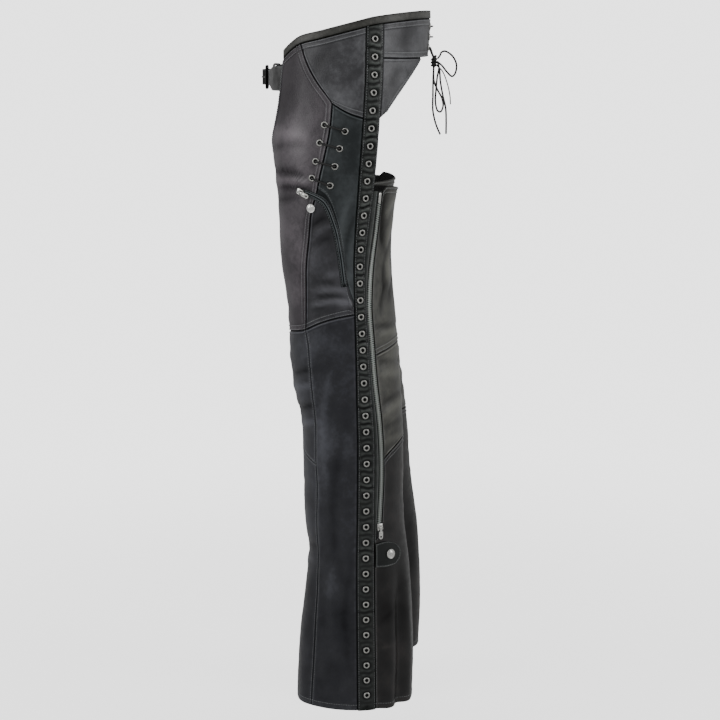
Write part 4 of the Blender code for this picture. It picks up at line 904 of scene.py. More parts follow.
def tape_finish(name, base, light):
    """Woven zip tape: flat threads in a herringbone, drawn 1.2 mm apart."""
    made, tree, shader, place = new_material(name)
    weave = add_node(tree, "TexWave", {"Vector": place, "Scale": per_metre(1.2) / 6.28, "Distortion": 1.5},
                     bands_direction="DIAGONAL").outputs["Fac"]
    bump = add_node(tree, "Bump", {"Height": weave, "Strength": 0.4, "Distance": 0.2 * MM})
    plug(shader, {"Base Color": ramp(tree, weave, (0.2, base), (0.8, light)), "Roughness": 0.8,
                  "Normal": bump.outputs["Normal"]})
    return made


MATERIALS = {}
METALS = (
    # colour and key, material, roughness
    ("nickel", "nickel_plate", 0.26),
    ("stud", "polished_nickel_studs", 0.24),
    ("eyelet", "tarnished_nickel_eyelets", 0.32),
    ("teeth", "tumbled_aluminium_teeth", 0.36),
    ("black_metal", "black_plated_steel", 0.30),
)


def make_materials():
    colours = bpy.context.scene.chaps_colours
    for key in ("band", "thigh", "yoke", "side", "pocket", "strip", "shin", "back", "calf", "belt"):
        base, light = tuple(getattr(colours, key)), tuple(getattr(colours, key + "_rubbed"))
        MATERIALS[key] = leather(key + "_cowhide", base, light)
    for key, name, roughness in METALS:
        MATERIALS[key] = metal(name, tuple(getattr(colours, key)), roughness)
    lace, thread = tuple(colours.lace), tuple(colours.thread)
    MATERIALS["lace"] = cord_finish("waxed_leather_lace", lace, linear("#1d1c1b"), 4.0, 0.5, 0.2)
    # The thread's mid-grey colours paint the sheen of black thread: a painted highlight
    MATERIALS["thread"] = cord_finish("bonded_nylon_thread", thread, linear("#8c8e8e"), 0.8, 0.5)
    MATERIALS["lining"] = tape_finish("woven_acetate_lining", linear("#101010"), linear("#1a1a1a"))
    MATERIALS["tape"] = tape_finish("woven_polyester_tape", linear("#131414"), linear("#242626"))


# ---------------------------------------------------------------- leather panels

def front_lines(dense):
    """Seam lines of the front pieces; dense is the number of cells for each step of the seam table."""
    front_top, yoke_top, _, _ = waist_stretches(BAND_HEIGHT, (2 * dense, 6 * dense, dense, 8 * dense))
    hip = line([yoke_top[0]] + [side(*point) for point in HIP_SEAM[1:]], 4 * dense)[::-1]
    hip_back = side_line(HIP_SEAM_BACK + (strip_front(YOKE_FOOT_Z),), 6 * dense)
    laced = side_line(LACE_SEAM, 5 * dense)[::-1]
    pocket = side_line(POCKET_SEAM + (strip_front(SIDE_FOOT_Z),), 6 * dense)
    pocket_front = side_line(POCKET_FRONT, 3 * dense)[::-1]
    crotch = [(-180.0, CROTCH_Z)]
    edge = line(crotch + [facing(*point) for point in FRONT_EDGE[:0:-1]] + [front_top[0]], 7 * dense)
    knee_front = line(KNEE_FRONT + (side(-74, -496), side(*KNEE_SEAM[0])), 9 * dense)
    shin_front = line(SHIN_FRONT + (side(*HEM_SEAM[0]),), 9 * dense)
    knee_knots = KNEE_SEAM + (strip_front(KNEE_FOOT_Z),)
    upper_shin, lower_shin = side_line(SHIN_SEAM, 4 * dense)[::-1], side_line(HEM_SEAM, 8 * dense)[::-1]
    hem_corner = side(*HEM_SEAM[-1])
    hem_front = line([(-180.0, HEM_Z), hem_corner], 9 * dense)
    hem_side = line([hem_corner, strip_line(HEM_Z, -1)], 4 * dense)

    def inseam(low, high, count):
        return line([(-180.0, low), (-180.0, high)], count * dense)

    def strip_edge(top, bottom, count):
        return strip_rows(-1, bottom, top, count * dense)

    return (
        # name, material, lines (bottom, right, top, left), edges (bottom, right, top, left)
        ("front_thigh", "thigh", (knee_front, join(pocket_front, laced, hip), join(edge, front_top),
                                  inseam(KNEE_Z, CROTCH_Z, 12)), ("lap", "lap", "lap", "lap")),
        ("hip_yoke", "yoke", (hip_back, strip_edge(float(yoke_top[-1][1]), YOKE_FOOT_Z, 4), yoke_top, hip),
         ("lap", "strip", "lap", "under")),
        ("side_thigh", "side", (pocket, strip_edge(YOKE_FOOT_Z, SIDE_FOOT_Z, 5), hip_back, laced),
         ("pocket", "strip", "under", "under")),
        ("pocket_panel", "pocket", (side_line(knee_knots, 6 * dense), strip_edge(SIDE_FOOT_Z, KNEE_FOOT_Z, 3),
                                    pocket, pocket_front), ("lap", "strip", "pocket", "under")),
        ("front_knee", "shin", (shin_front, upper_shin, knee_front, inseam(SHIN_Z, KNEE_Z, 4)),
         ("flat", "flat_under", "under", "lap")),
        ("front_shin", "shin", (hem_front, lower_shin, shin_front, inseam(HEM_Z, SHIN_Z, 8)),
         ("turned", "flat_under", "flat_under", "lap")),
        ("side_shin", "shin", (hem_side, strip_edge(KNEE_FOOT_Z, HEM_Z, 12), side_line(knee_knots, 4 * dense),
                               join(lower_shin, upper_shin)), ("turned", "strip", "under", "flat")),
    )


def back_lines(dense):
    """Seam lines of the back pieces."""
    columns = 11 * dense

    def back_line(start, *knots):
        places = np.array([(float(angle), float(z)) for angle, z in (start,) + knots])
        angles = np.linspace(places[0, 0], 180.0, columns + 1)
        return np.stack((angles, curve_at(places[:, 0], places[:, 1], angles)), axis=-1)

    def zip_right(z):
        return zip_line(z, TEETH_HALF_WIDTH + TAPE_MARGIN)

    def inseam(low, high, count):
        return line([(180.0, low), (180.0, high)], count * dense)

    top = back_line(zip_right(ZIP_TOP_Z), *THIGH_BACK)
    knee = back_line(zip_right(ZIP_KNEE_Z), *KNEE_BACK)
    calf = back_line(zip_right(ZIP_CALF_Z), *CALF_BACK)
    hem = back_line(strip_line(HEM_Z, 1), (90.0, HEM_Z), (180.0, HEM_Z))
    foot_z = ZIP_END_Z - ZIP_SLANT
    corner = np.array([strip_line(foot_z, 1), zip_right(ZIP_END_Z)], float)
    slant = np.linspace(corner[0], corner[1], dense + 1)
    calf_edge = join(strip_rows(1, HEM_Z, foot_z, 5 * dense), slant,
                     edge_rows(zip_right, ZIP_END_Z, ZIP_CALF_Z, 2 * dense))
    yoke_top = waist_stretches(BAND_HEIGHT, (dense, dense, dense, 8 * dense))[3]
    seam_start = [strip_line(BACK_YOKE_Z, 1), side(*YOKE_SEAM_SIDE)]
    yoke_seam = line(seam_start + [facing(YOKE_END_X, BACK_YOKE_Z, back=True)], 8 * dense)
    heights = np.linspace(BACK_YOKE_Z, yoke_top[-1][1], 3 * dense + 1)
    yoke_end = np.stack(facing(YOKE_END_X, heights, back=True), axis=-1)
    gusset_top = line(seam_start + [side(*YOKE_SEAM_END)], 5 * dense)
    foot_y, _ = strip_front(GUSSET_FOOT_Z)
    gusset_bottom = side_line(((foot_y + GUSSET_FOOT_WIDTH, GUSSET_FOOT_Z), GUSSET_HEM[0]), 5 * dense)
    gusset_hem = side_line(GUSSET_HEM, 4 * dense)
    strip = strip_rows(1, BACK_YOKE_Z, float(yoke_top[0][1]), 3 * dense)
    return (
        ("back_thigh", "back", (knee, inseam(KNEE_Z, CROTCH_Z, 6), top,
                                edge_rows(zip_right, ZIP_KNEE_Z, ZIP_TOP_Z, 6 * dense)),
         ("lap", "under", "hem", "row")),
        ("back_knee", "back", (calf, inseam(SHIN_Z, KNEE_Z, 4), knee,
                               edge_rows(zip_right, ZIP_CALF_Z, ZIP_KNEE_Z, 4 * dense)),
         ("under", "under", "under", "row")),
        ("back_calf", "calf", (hem, inseam(HEM_Z, SHIN_Z, 8), calf, calf_edge),
         ("turned", "under", "lap", "row")),
        ("back_yoke", "yoke", (yoke_seam, yoke_end, yoke_top, strip), ("lap", "row", "lap", "strip")),
        ("back_gusset", "yoke", (gusset_bottom, gusset_hem, gusset_top,
                                 strip_rows(1, GUSSET_FOOT_Z, BACK_YOKE_Z, 4 * dense)),
         ("row", "hem", "under", "strip")),
    )


def band_lines(dense):
    counts = (2 * dense, 6 * dense, dense, 8 * dense)
    top, bottom = join(*waist_stretches(0.0, counts)), join(*waist_stretches(BAND_HEIGHT, counts))
    ends = [np.linspace(bottom[index], top[index], 2 * dense + 1) for index in (-1, 0)]
    edges = ("rolled_under", "plain", "roll", "plain")
    return (("waistband", "band", (bottom, ends[0], top, ends[1]), edges),)


class CHAPS_OT_panels(bpy.types.Operator):
    """Cut and shape the leather panels, with their creases and seam edges"""
    bl_idname = "chaps.panels"
    bl_label = "Leather Panels"

    def execute(self, context):
        for leg_name, leg in LEGS:
            for name, finish, lines, edges in band_lines(3) + front_lines(4) + back_lines(3):
                leather_panel(name, leg_name, leg, lines, edges, finish)
        return {"FINISHED"}


# ---------------------------------------------------------------- side strips and eyelets

HOLE_RADIUS = 2.6
CELL_TURNS = 24
RING_SHARES = (0.0, 0.14, 0.3, 0.46, 0.62, 0.8, 1.0)
SIDE_MARKS = (0.0, 0.4, 1.0, 2.2, 3.2)
SIDE_HEIGHTS = (-1.3, -0.6, 0.2, -0.3, 0.25)


def strip_lift(y_offset, z, leg):
    """Height of the strip over the skin: pressed in round the eyelets, puffed and folded between them."""
    half_width = strip_half_width(z)
    share = np.abs(y_offset) / half_width
    below_top = np.sqrt(EYELET_PITCH ** 2 - 2 * EYELET_CLOSING * (EYELET_TOP_Z - z))
    row = (EYELET_PITCH - below_top) / EYELET_CLOSING
    gap = np.floor(row)
    near = z - eyelet_z(np.round(row))
    middle = z - eyelet_z(gap + 0.5)
    deep = 0.5 + 0.5 * np.sin(gap * 2.4 + 1.7 * leg) * np.cos(gap * 0.9 + leg)
    slant = 0.12 * np.sin(gap * 1.7 + 2.0 * leg) * y_offset + 0.9 * np.sin(0.35 * y_offset + gap)
    fold = -1.7 * (0.15 + deep) * np.exp(-((middle + slant) / 1.5) ** 2) * (1.0 - 0.35 * share ** 2)
    puffs = 0.8 * (0.4 + deep) * np.exp(-((np.abs(middle + slant) - 4.4) / 2.4) ** 2) * (1.0 - share ** 4)
    strength = np.interp(z, (-1080.0, -850.0, -620.0), (0.3, 0.5, 1.0))
    fold, puffs = strength * fold, strength * puffs
    reach = np.hypot(near, y_offset)
    dimple = -0.5 * np.exp(-((reach - 6.4) / 1.4) ** 2) - 0.5 * (reach < 6.0)
    edge = np.interp(half_width - np.abs(y_offset), SIDE_MARKS, SIDE_HEIGHTS)
    return np.clip(STRIP_OUTER + fold + puffs + dimple + edge, STRIP_OUTER - 1.9, STRIP_OUTER + 1.1)


def cell_rings(low_z, high_z, centre_z):
    """Turns round an eyelet and (y, z) on its cell's straight border; y is 1 at the side band."""
    turns = np.arange(CELL_TURNS) * 2.0 * math.pi / CELL_TURNS
    cosine, sine = np.cos(turns), np.sin(turns)
    reach = 1.0 / np.maximum(np.abs(cosine), np.abs(sine))
    side_y = cosine * reach
    side_z = np.where(sine > 0, (high_z - centre_z), (centre_z - low_z)) * sine * reach
    return turns, side_y, side_z


def strip_patches(leg):
    """Grids of points for one strip: cells round the eyelets, and bands along both edges."""
    tops = [z for _, z in waist_stretches(BAND_HEIGHT, (1, 1, 1, 1))[2]]
    patches, wear_and_shade_grids = [], []

    def place(y_offset, z, lift):
        angle, _ = side(strip_centre(z) + y_offset, z)
        return skin(angle, z, lift)

    def both(y_offset, z):
        y_offset, z = np.broadcast_arrays(np.asarray(y_offset, float), np.asarray(z, float))
        lift = strip_lift(y_offset, z, leg)
        outer, inner = place(y_offset, z, lift), place(y_offset, z, np.full(z.shape, STRIP_INNER))
        # Tone follows the lift: darker in the folds between eyelets and the dips round them as painted shade,
        # lighter on the puffs as rubbing and painted highlight
        keep(outer, np.clip(0.32 + 0.42 * (lift - STRIP_OUTER), 0.0, 1.0))
        keep(inner[:, ::-1])
        return outer, inner

    def keep(patch, wear=None):
        patches.append(patch)
        wear_and_shade_grids.append(np.full(patch.shape[:2], 0.3) if wear is None else wear)

    def inside(z):
        return strip_half_width(z) - 0.5 * SEAM_GAP - SIDE_MARKS[-1]

    levels = []
    border = np.tan(np.linspace(-math.pi / 4, math.pi / 4, CELL_TURNS // 4 + 1))
    for index in range(EYELET_COUNT):
        low, centre, high = (eyelet_z(index + step) for step in (0.5, 0, -0.5))
        turns, side_y, side_z = cell_rings(low, high, centre)
        share = np.array(RING_SHARES)[:, None]
        z = centre + (1 - share) * HOLE_RADIUS * np.sin(turns) + share * side_z
        y = (1 - share) * HOLE_RADIUS * np.cos(turns) + share * side_y * inside(z)
        y, z = (np.concatenate((rings, rings[:, :1]), axis=1)[:, ::-1] for rings in (y, z))
        outer, inner = both(y, z)
        keep(np.stack((inner[0], outer[0])))
        levels.append(centre + border * np.where(border > 0, high - centre, centre - low))
    # The plain ends above the first eyelet's cell and below the last one's
    for z_from, z_to in ((levels[0][-1], tops), (HEM_Z, levels[-1][0])):
        left, right = (z_to if isinstance(z_to, list) else (z_to, z_to))
        share = np.linspace(0.0, 1.0, 5)[:, None]
        ends = left + (right - left) * 0.5 * (border + 1.0)
        z = z_from + share * (ends[None] - z_from)
        y = border[None] * inside(z)
        both(y, z)
        levels.append(z[:, 0])
        if z_from != HEM_Z:
            top_left, top_right = z[:, 0], z[:, -1]
    order = [levels[-1]] + levels[EYELET_COUNT - 1::-1]
    heights = [order[0]] + [part[1:] for part in order[1:]]
    for sign, top in ((-1, top_left), (1, top_right)):
        column = np.concatenate(heights + [top[1:]])[:, None]
        marks = np.array(SIDE_MARKS if sign < 0 else SIDE_MARKS[::-1])[None]
        y = sign * (strip_half_width(column) - 0.5 * SEAM_GAP - marks)
        outer, inner = both(y, column + np.zeros_like(y))
        edge = 0 if sign < 0 else -1
        rim = np.stack((inner[:, edge], outer[:, edge]), axis=1)
        keep(rim if sign < 0 else rim[:, ::-1])
        keep(np.stack((inner[0], outer[0])))
        keep(np.stack((outer[-1], inner[-1])))
    return patches, wear_and_shade_grids, place


def mesh_of_patches(name, patches, leg, wear_and_shade_grids):
    """Grids of points in millimetres welded into one mesh."""
    points, faces, start = [], [], 0
    for patch in patches:
        rows, columns = patch.shape[:2]
        faces.append(grid_faces(start + np.arange(rows * columns).reshape(rows, columns)))
        points.append(patch.reshape(-1, 3))
        start += rows * columns
    wear = np.concatenate([wear.ravel() for wear in wear_and_shade_grids])
    mesh = mesh_from(name, np.concatenate(points), np.concatenate(faces), leg, wear)
    edit = bmesh.new()
    edit.from_mesh(mesh)
    bmesh.ops.remove_doubles(edit, verts=edit.verts, dist=0.002 * MM)
    bmesh.ops.holes_fill(edit, edges=edit.edges)
    bmesh.ops.recalc_face_normals(edit, faces=edit.faces)
    edit.to_mesh(mesh)
    edit.free()
    return mesh


class CHAPS_OT_strips(bpy.types.Operator):
    """Lay the puckered side strips and set their eyelets"""
    bl_idname = "chaps.strips"
    bl_label = "Side Strips"

    def execute(self, context):
        sizes = context.scene.chaps_sizes
        turned(ring_profile(sizes.eyelet_radius, 2.7, 1.1, -1.9), 24)
        eyelet = taken_mesh()
        for leg_name, leg in LEGS:
            patches, wear_and_shade_grids, place = strip_patches(leg)
            mesh = mesh_of_patches(leg_name + "_eyelet_strip", patches, leg, wear_and_shade_grids)
            piece = link(leg_name + "_eyelet_strip_leather", mesh)
            finish_piece(piece, "strip", replaces=(leg_name + "_eyelet_strip",))
            share = np.linspace(-1.0, 1.0, 7)[None]
            rise = np.linspace(HEM_Z + 1.0, tops_middle() - 1.0, 180)[:, None]
            angle, _ = strip_line(rise, 0.93 * share)
            grid = np.stack((angle, rise + 0.0 * share), axis=-1)
            # A dark sheet behind the strip, which keeps its eyelets' holes dark
            wall_piece("strip_backing", leg_name, leg, grid, np.full(angle.shape, -1.5), -2.6, "tape")
            z = np.linspace(HEM_Z, tops_middle(), 200)
            for sign in (-1, 1):
                offset = sign * (strip_half_width(z) - SIDE_MARKS[3])
                lift = strip_lift(offset, z, leg) + 0.5 * sizes.thread_radius
                angle, _ = side(strip_centre(z) + offset, z)
                add_stitches(leg_name, place(offset, z, lift), skin_normal(angle, z), sizes.stitch_pitch)
            width = 2.0 * float(STRIP[:, 2].mean()) * MM
            length = (tops_middle() - HEM_Z) * MM
            SHEETS[piece.name] = (round(width, 3), round(length, 3), round(width * length, 4))
            places = []
            for index in range(EYELET_COUNT):
                z = np.array(eyelet_z(index))
                angle, _ = strip_line(z, 0)
                lift = float(strip_lift(np.array(5.0), z, leg)) + 0.35
                places.append(stand(float(angle), float(z), lift))
            rings = copies(leg_name + "_eyelets", eyelet, places, leg)
            finish_piece(rings, "eyelet")
        return {"FINISHED"}


def tops_middle():
    """Height of the strip's top in its middle."""
    return float(np.mean([z for _, z in waist_stretches(BAND_HEIGHT, (1, 1, 1, 1))[2]])) - 0.5 * SEAM_GAP


# ---------------------------------------------------------------- modelling by hand

def deselect():
    if bpy.context.object and bpy.context.object.mode != "OBJECT":
        object_mode()
    bpy.ops.object.select_all(action="DESELECT")


def edit_mode():
    bpy.ops.object.mode_set(mode="EDIT")


def object_mode():
    bpy.ops.object.mode_set(mode="OBJECT")


def select_all():
    bpy.ops.mesh.select_all(action="SELECT")


def extrude(*move):
    bpy.ops.mesh.extrude_region_move(TRANSFORM_OT_translate={"value": move})


def resize(growth, *centre):
    bpy.ops.transform.resize(value=growth, center_override=centre)


def apply_place():
    """Puts the active object's place, turn and size into its mesh."""
    bpy.ops.object.transform_apply(location=True, rotation=True, scale=True)


def select_faces(test):
    """In edit mode, select the faces whose centre and normal pass a test."""
    edit = bmesh.from_edit_mesh(bpy.context.object.data)
    chosen = [face for face in edit.faces if test(face.calc_center_median() / MM, face.normal)]
    for face in edit.faces:
        face.select_set(False)
    for face in chosen:
        face.select_set(True)
    edit.select_flush_mode()
    bmesh.update_edit_mesh(bpy.context.object.data)


def apply_modifier(kind, **settings):
    made = bpy.context.object
    modifier = made.modifiers.new(kind.lower(), kind)
    for name, value in settings.items():
        setattr(modifier, name, value)
    bpy.ops.object.modifier_apply(modifier=modifier.name)


def round_edges(width):
    apply_modifier("BEVEL", width=width * MM, segments=2, limit_method="ANGLE")


def taken_mesh():
    """The active object's mesh in place, with the object itself removed."""
    made = bpy.context.object
    apply_place()
    mesh = made.data
    bpy.data.objects.remove(made)
    mesh.shade_smooth()
    mesh.set_sharp_from_angle(angle=math.radians(40))
    return mesh


def matrix_of(across, up, out, place):
    """A matrix with its axes along three directions, at a place in Blender's metres."""
    made = Matrix((across, up, out)).transposed().to_4x4()
    made.translation = place
    return made


def stand(angle, z, lift, toward=None):
    """A matrix on the skin: X along toward (or round the leg), Z along the normal."""
    normal = Vector(skin_normal(angle, z))
    across = Vector(around_leg(angle, z)) if toward is None else toward
    across = (across - normal * across.dot(normal)).normalized()
    return matrix_of(across, normal.cross(across), normal, Vector(skin(angle, z, lift)) * MM)


def copies(name, source, places, leg=1):
    """One mesh of copies of a source mesh, each at its own matrix; leg -1 mirrors them."""
    source.calc_loop_triangles()
    corners = np.empty(len(source.vertices) * 3)
    source.vertices.foreach_get("co", corners)
    corners = corners.reshape(-1, 3)
    faces = [tuple(face.vertices) for face in source.polygons]
    points, all_faces = [], []
    for index, place in enumerate(places):
        matrix = np.array(place)
        points.append((corners @ matrix[:3, :3].T + matrix[:3, 3]) / MM)
        offset = index * len(corners)
        all_faces += [tuple(offset + corner for corner in face) for face in faces]
    mesh = mesh_from(name, np.concatenate(points), all_faces, leg)
    mesh.set_sharp_from_angle(angle=math.radians(40))
    return link(name, mesh)


def turned(profile, sides):
    """A round piece: a disc's rim drawn through (radius, height) rows; a closed profile makes a ring."""
    radius, height = profile[0]
    deselect()
    bpy.ops.mesh.primitive_circle_add(vertices=sides, radius=radius * MM, location=(0, 0, height * MM),
                                      fill_type="NOTHING" if profile[0] == profile[-1] else "NGON")
    edit_mode()
    select_all()
    for (radius, height), (next_radius, next_height) in zip(profile, profile[1:]):
        extrude(0, 0, (next_height - height) * MM)
        growth = next_radius / radius
        resize((growth, growth, 1.0), 0, 0, next_height * MM)
    select_all()
    bpy.ops.mesh.remove_doubles(threshold=0.001 * MM)
    bpy.ops.mesh.normals_make_consistent(inside=False)
    object_mode()
    return bpy.context.object


def block(size, centre=(0, 0, 0), bevel=0.0):
    """A box with its size and place in its mesh, its edges rounded over."""
    deselect()
    bpy.ops.mesh.primitive_cube_add(size=MM, location=Vector(centre) * MM)
    made = bpy.context.object
    made.scale = size
    apply_place()
    if bevel:
        round_edges(bevel)
    return made


def rod(radius, length, centre=(0, 0, 0), axis="Z", sides=20, bevel=0.0):
    """A round bar along an axis."""
    deselect()
    turn = {"X": (0, math.pi / 2, 0), "Y": (math.pi / 2, 0, 0), "Z": (0, 0, 0)}[axis]
    bpy.ops.mesh.primitive_cylinder_add(vertices=sides, radius=radius * MM, depth=length * MM, rotation=turn,
                                        location=Vector(centre) * MM)
    apply_place()
    if bevel:
        round_edges(bevel)
    return bpy.context.object


def combined(target, tools, operation="UNION"):
    """The target with the tools added or cut away."""
    for tool in tools:
        bpy.context.view_layer.objects.active = target
        apply_modifier("BOOLEAN", operation=operation, object=tool, solver="EXACT")
        bpy.data.objects.remove(tool)
    return target


def joined(first, *others):
    deselect()
    for item in (first,) + others:
        item.select_set(True)
    bpy.context.view_layer.objects.active = first
    bpy.ops.object.join()
    return bpy.context.object


def ring_profile(outer, inner, top, foot):
    """Rows of a rolled ring, down its barrel, out over its crown and back under."""
    crown = 0.5 * (outer + inner)
    return ((inner, foot), (inner, 0.45 * top), (inner + 0.25, 0.8 * top), (0.5 * (inner + crown), top),
            (crown, 1.08 * top), (0.5 * (outer + crown), 0.85 * top), (0.96 * outer, 0.45 * top),
            (outer, 0.0), (0.96 * outer, -0.35), (inner + 0.5, -0.35), (inner + 0.5, foot), (inner, foot))


def stud_profile(radius, height):
    """Rows of a press stud's cap: rolled rim, groove and low dome."""
    rows = ((0.90, 0.0), (1.0, 0.14), (1.0, 0.36), (0.95, 0.52), (0.86, 0.56), (0.80, 0.50), (0.76, 0.56),
            (0.66, 0.76), (0.50, 0.91), (0.30, 0.98), (0.12, 1.0))
    return tuple((share * radius, level * height) for share, level in rows)


# ---------------------------------------------------------------- zips

SLIDER_LENGTH = 11.0
SLIDER_WIDTH = 9.0
SLIDER_HEIGHT = 3.0
HINGE_HEIGHT = 5.4
EAR_SPACING = 2.6
PIN_Y = -1.0
TEETH_OUTER = 1.0
PULL_LENGTHS = {"side_zip": 14.0, "pocket": 15.0}
EYE_PROFILE = ((1.1, -1.4), (1.1, 1.4), (1.35, 1.6), (1.75, 1.25), (1.75, -1.25), (1.35, -1.6), (1.1, -1.4))


def tooth_mesh(pitch):
    """One zip tooth, from the tape inwards: a clamped foot, a neck and a rounded head."""
    block((0.8, 0.46 * pitch, 1.9), (-2.8, 0.0, 0.0))
    edit_mode()
    end = -2.4
    for reach, growth in ((1.3, 0.8), (0.8, 1.35), (0.9, 0.75)):
        select_faces(lambda centre, normal: centre.x > end - 0.01 and normal.x > 0.5)
        end += reach
        extrude(reach * MM, 0.0, 0.0)
        resize((1.0, growth, 0.94), end * MM, 0.0, 0.0)
    object_mode()
    return taken_mesh()


def slider_body():
    """A zip slider: a tapered shield with a channel at each side, two ears and the pin for its pull."""
    shield = block((SLIDER_WIDTH, SLIDER_LENGTH, SLIDER_HEIGHT), (0, 0, 0.5 * SLIDER_HEIGHT))
    edit_mode()
    select_all()
    for level in (-1.5, 2.5):
        bpy.ops.mesh.bisect(plane_co=(0, level * MM, 0), plane_no=(0, 1, 0))
        select_all()
    for end, growth in ((-1, 0.78), (1, 0.9)):
        select_faces(lambda centre, normal: end * centre.y > 0.49 * SLIDER_LENGTH)
        bpy.ops.transform.resize(value=(growth, 1.0, 0.86))
    select_faces(lambda centre, normal: normal.z > 0.9)
    bpy.ops.mesh.inset(thickness=0.7 * MM, depth=0.35 * MM)
    object_mode()
    round_edges(0.35)
    slots = [block((1.6, SLIDER_LENGTH + 2.0, 0.8), (sign * 0.5 * SLIDER_WIDTH, 0, 1.3)) for sign in (-1, 1)]
    combined(shield, slots, "DIFFERENCE")
    height = HINGE_HEIGHT + 1.2 - 0.5 * SLIDER_HEIGHT
    middle = 0.5 * height + 0.5 * SLIDER_HEIGHT
    ears = [block((1.1, 4.2, height), (sign * EAR_SPACING, PIN_Y, middle), 0.45) for sign in (-1, 1)]
    pin = rod(0.7, 2 * EAR_SPACING + 1.6, (0, PIN_Y, HINGE_HEIGHT), "X", 14, 0.2)
    joined(shield, *ears, pin)
    return taken_mesh()


def pull_tab(length):
    """A flat pull: an eye round the pin, a neck and a rounded plate with a hole near its end."""
    eye = turned(EYE_PROFILE, 18)
    edit_mode()
    select_all()
    bpy.ops.transform.rotate(value=math.pi / 2, orient_axis="Y", center_override=(0, 0, 0))
    object_mode()
    neck = block((3.0, 5.0, 1.3), (0, -3.9, 0), 0.3)
    plate = block((6.8, length - 5.5, 1.1), (0, -0.5 * (length + 5.5), 0))
    combined(plate, [rod(3.35, 1.1, (0, -length, 0), "Z", 24)])
    combined(plate, [rod(1.55, 4.0, (0, -length + 0.6, 0), "Z", 18)], "DIFFERENCE")
    bpy.context.view_layer.objects.active = plate
    round_edges(0.28)
    rim = block((3.6, length - 9.5, 0.5), (0, -0.5 * (length + 4.5), 0.6), 0.2)
    joined(eye, neck, plate, rim)
    return taken_mesh()


def zip_levels(rise, share):
    """Heights over the zip, whose lower end slants down toward the strip."""
    end = ZIP_END_Z - ZIP_SLANT * (1.0 - share)
    return end + (ZIP_TOP_Z - end) * rise


def side_zip_places():
    angle, z = (float(value) for value in zip_line(ZIP_SLIDER_Z))
    across = Vector(around_leg(angle, z))
    across.z = 0.0
    slider = stand(angle, z, TEETH_OUTER + SEAM_GAP, across)
    return slider, pull_place(slider)


def pocket_places():
    angle, z = (float(value) for value in side(*POCKET_SLIDER))
    along = Vector(skin(*side(-54, -293)) - skin(*side(-74, -284)))
    across = along.cross(Vector(skin_normal(angle, z)))
    slider = stand(angle, z, 2.3 + SEAM_GAP, -across)
    return slider, pull_place(slider)


def pull_place(slider):
    """The pull's place on its pin, turned so that it hangs at rest."""
    across = slider.to_3x3().col[0].normalized()
    down = Vector((0, 0, -1))
    down = (down - across * down.dot(across)).normalized()
    return matrix_of(across, -down, across.cross(-down), slider @ (Vector((0, PIN_Y, HINGE_HEIGHT)) * MM))


def hang_pull(leg_name, leg, zip_name, slider, pull, places):
    """Sets a zip's slider, and its pull on a body of its own."""
    name = leg_name + "_" + zip_name
    body = copies(name + "_slider_body", slider, [places[0]], leg)
    finish_piece(body, "nickel", replaces=(name + "_slider",))
    tab = copies(name + "_pull_tab", pull, [places[1]], leg)
    finish_piece(tab, "nickel", name + "_pull_tab", (name + "_pull",))


def wall_piece(name, leg_name, leg, grid, lifts, under, material, replaces=None, wear=None):
    """A closed wall over a grid, with outer lifts for each point and one inner lift."""
    angle, z = grid[..., 0], grid[..., 1]
    outer, inner = skin(angle, z, lifts), skin(angle, z, np.broadcast_to(under, z.shape))
    wear = None if wear is None else np.concatenate((wear.ravel(), wear.ravel()))
    mesh = mesh_from(leg_name + "_" + name, np.concatenate((outer.reshape(-1, 3), inner.reshape(-1, 3))),
                     wall_faces(*angle.shape), leg, wear)
    piece = link(leg_name + "_" + name, mesh)
    finish_piece(piece, material, replaces=(leg_name + "_" + replaces,) if replaces else ())
    return piece, outer


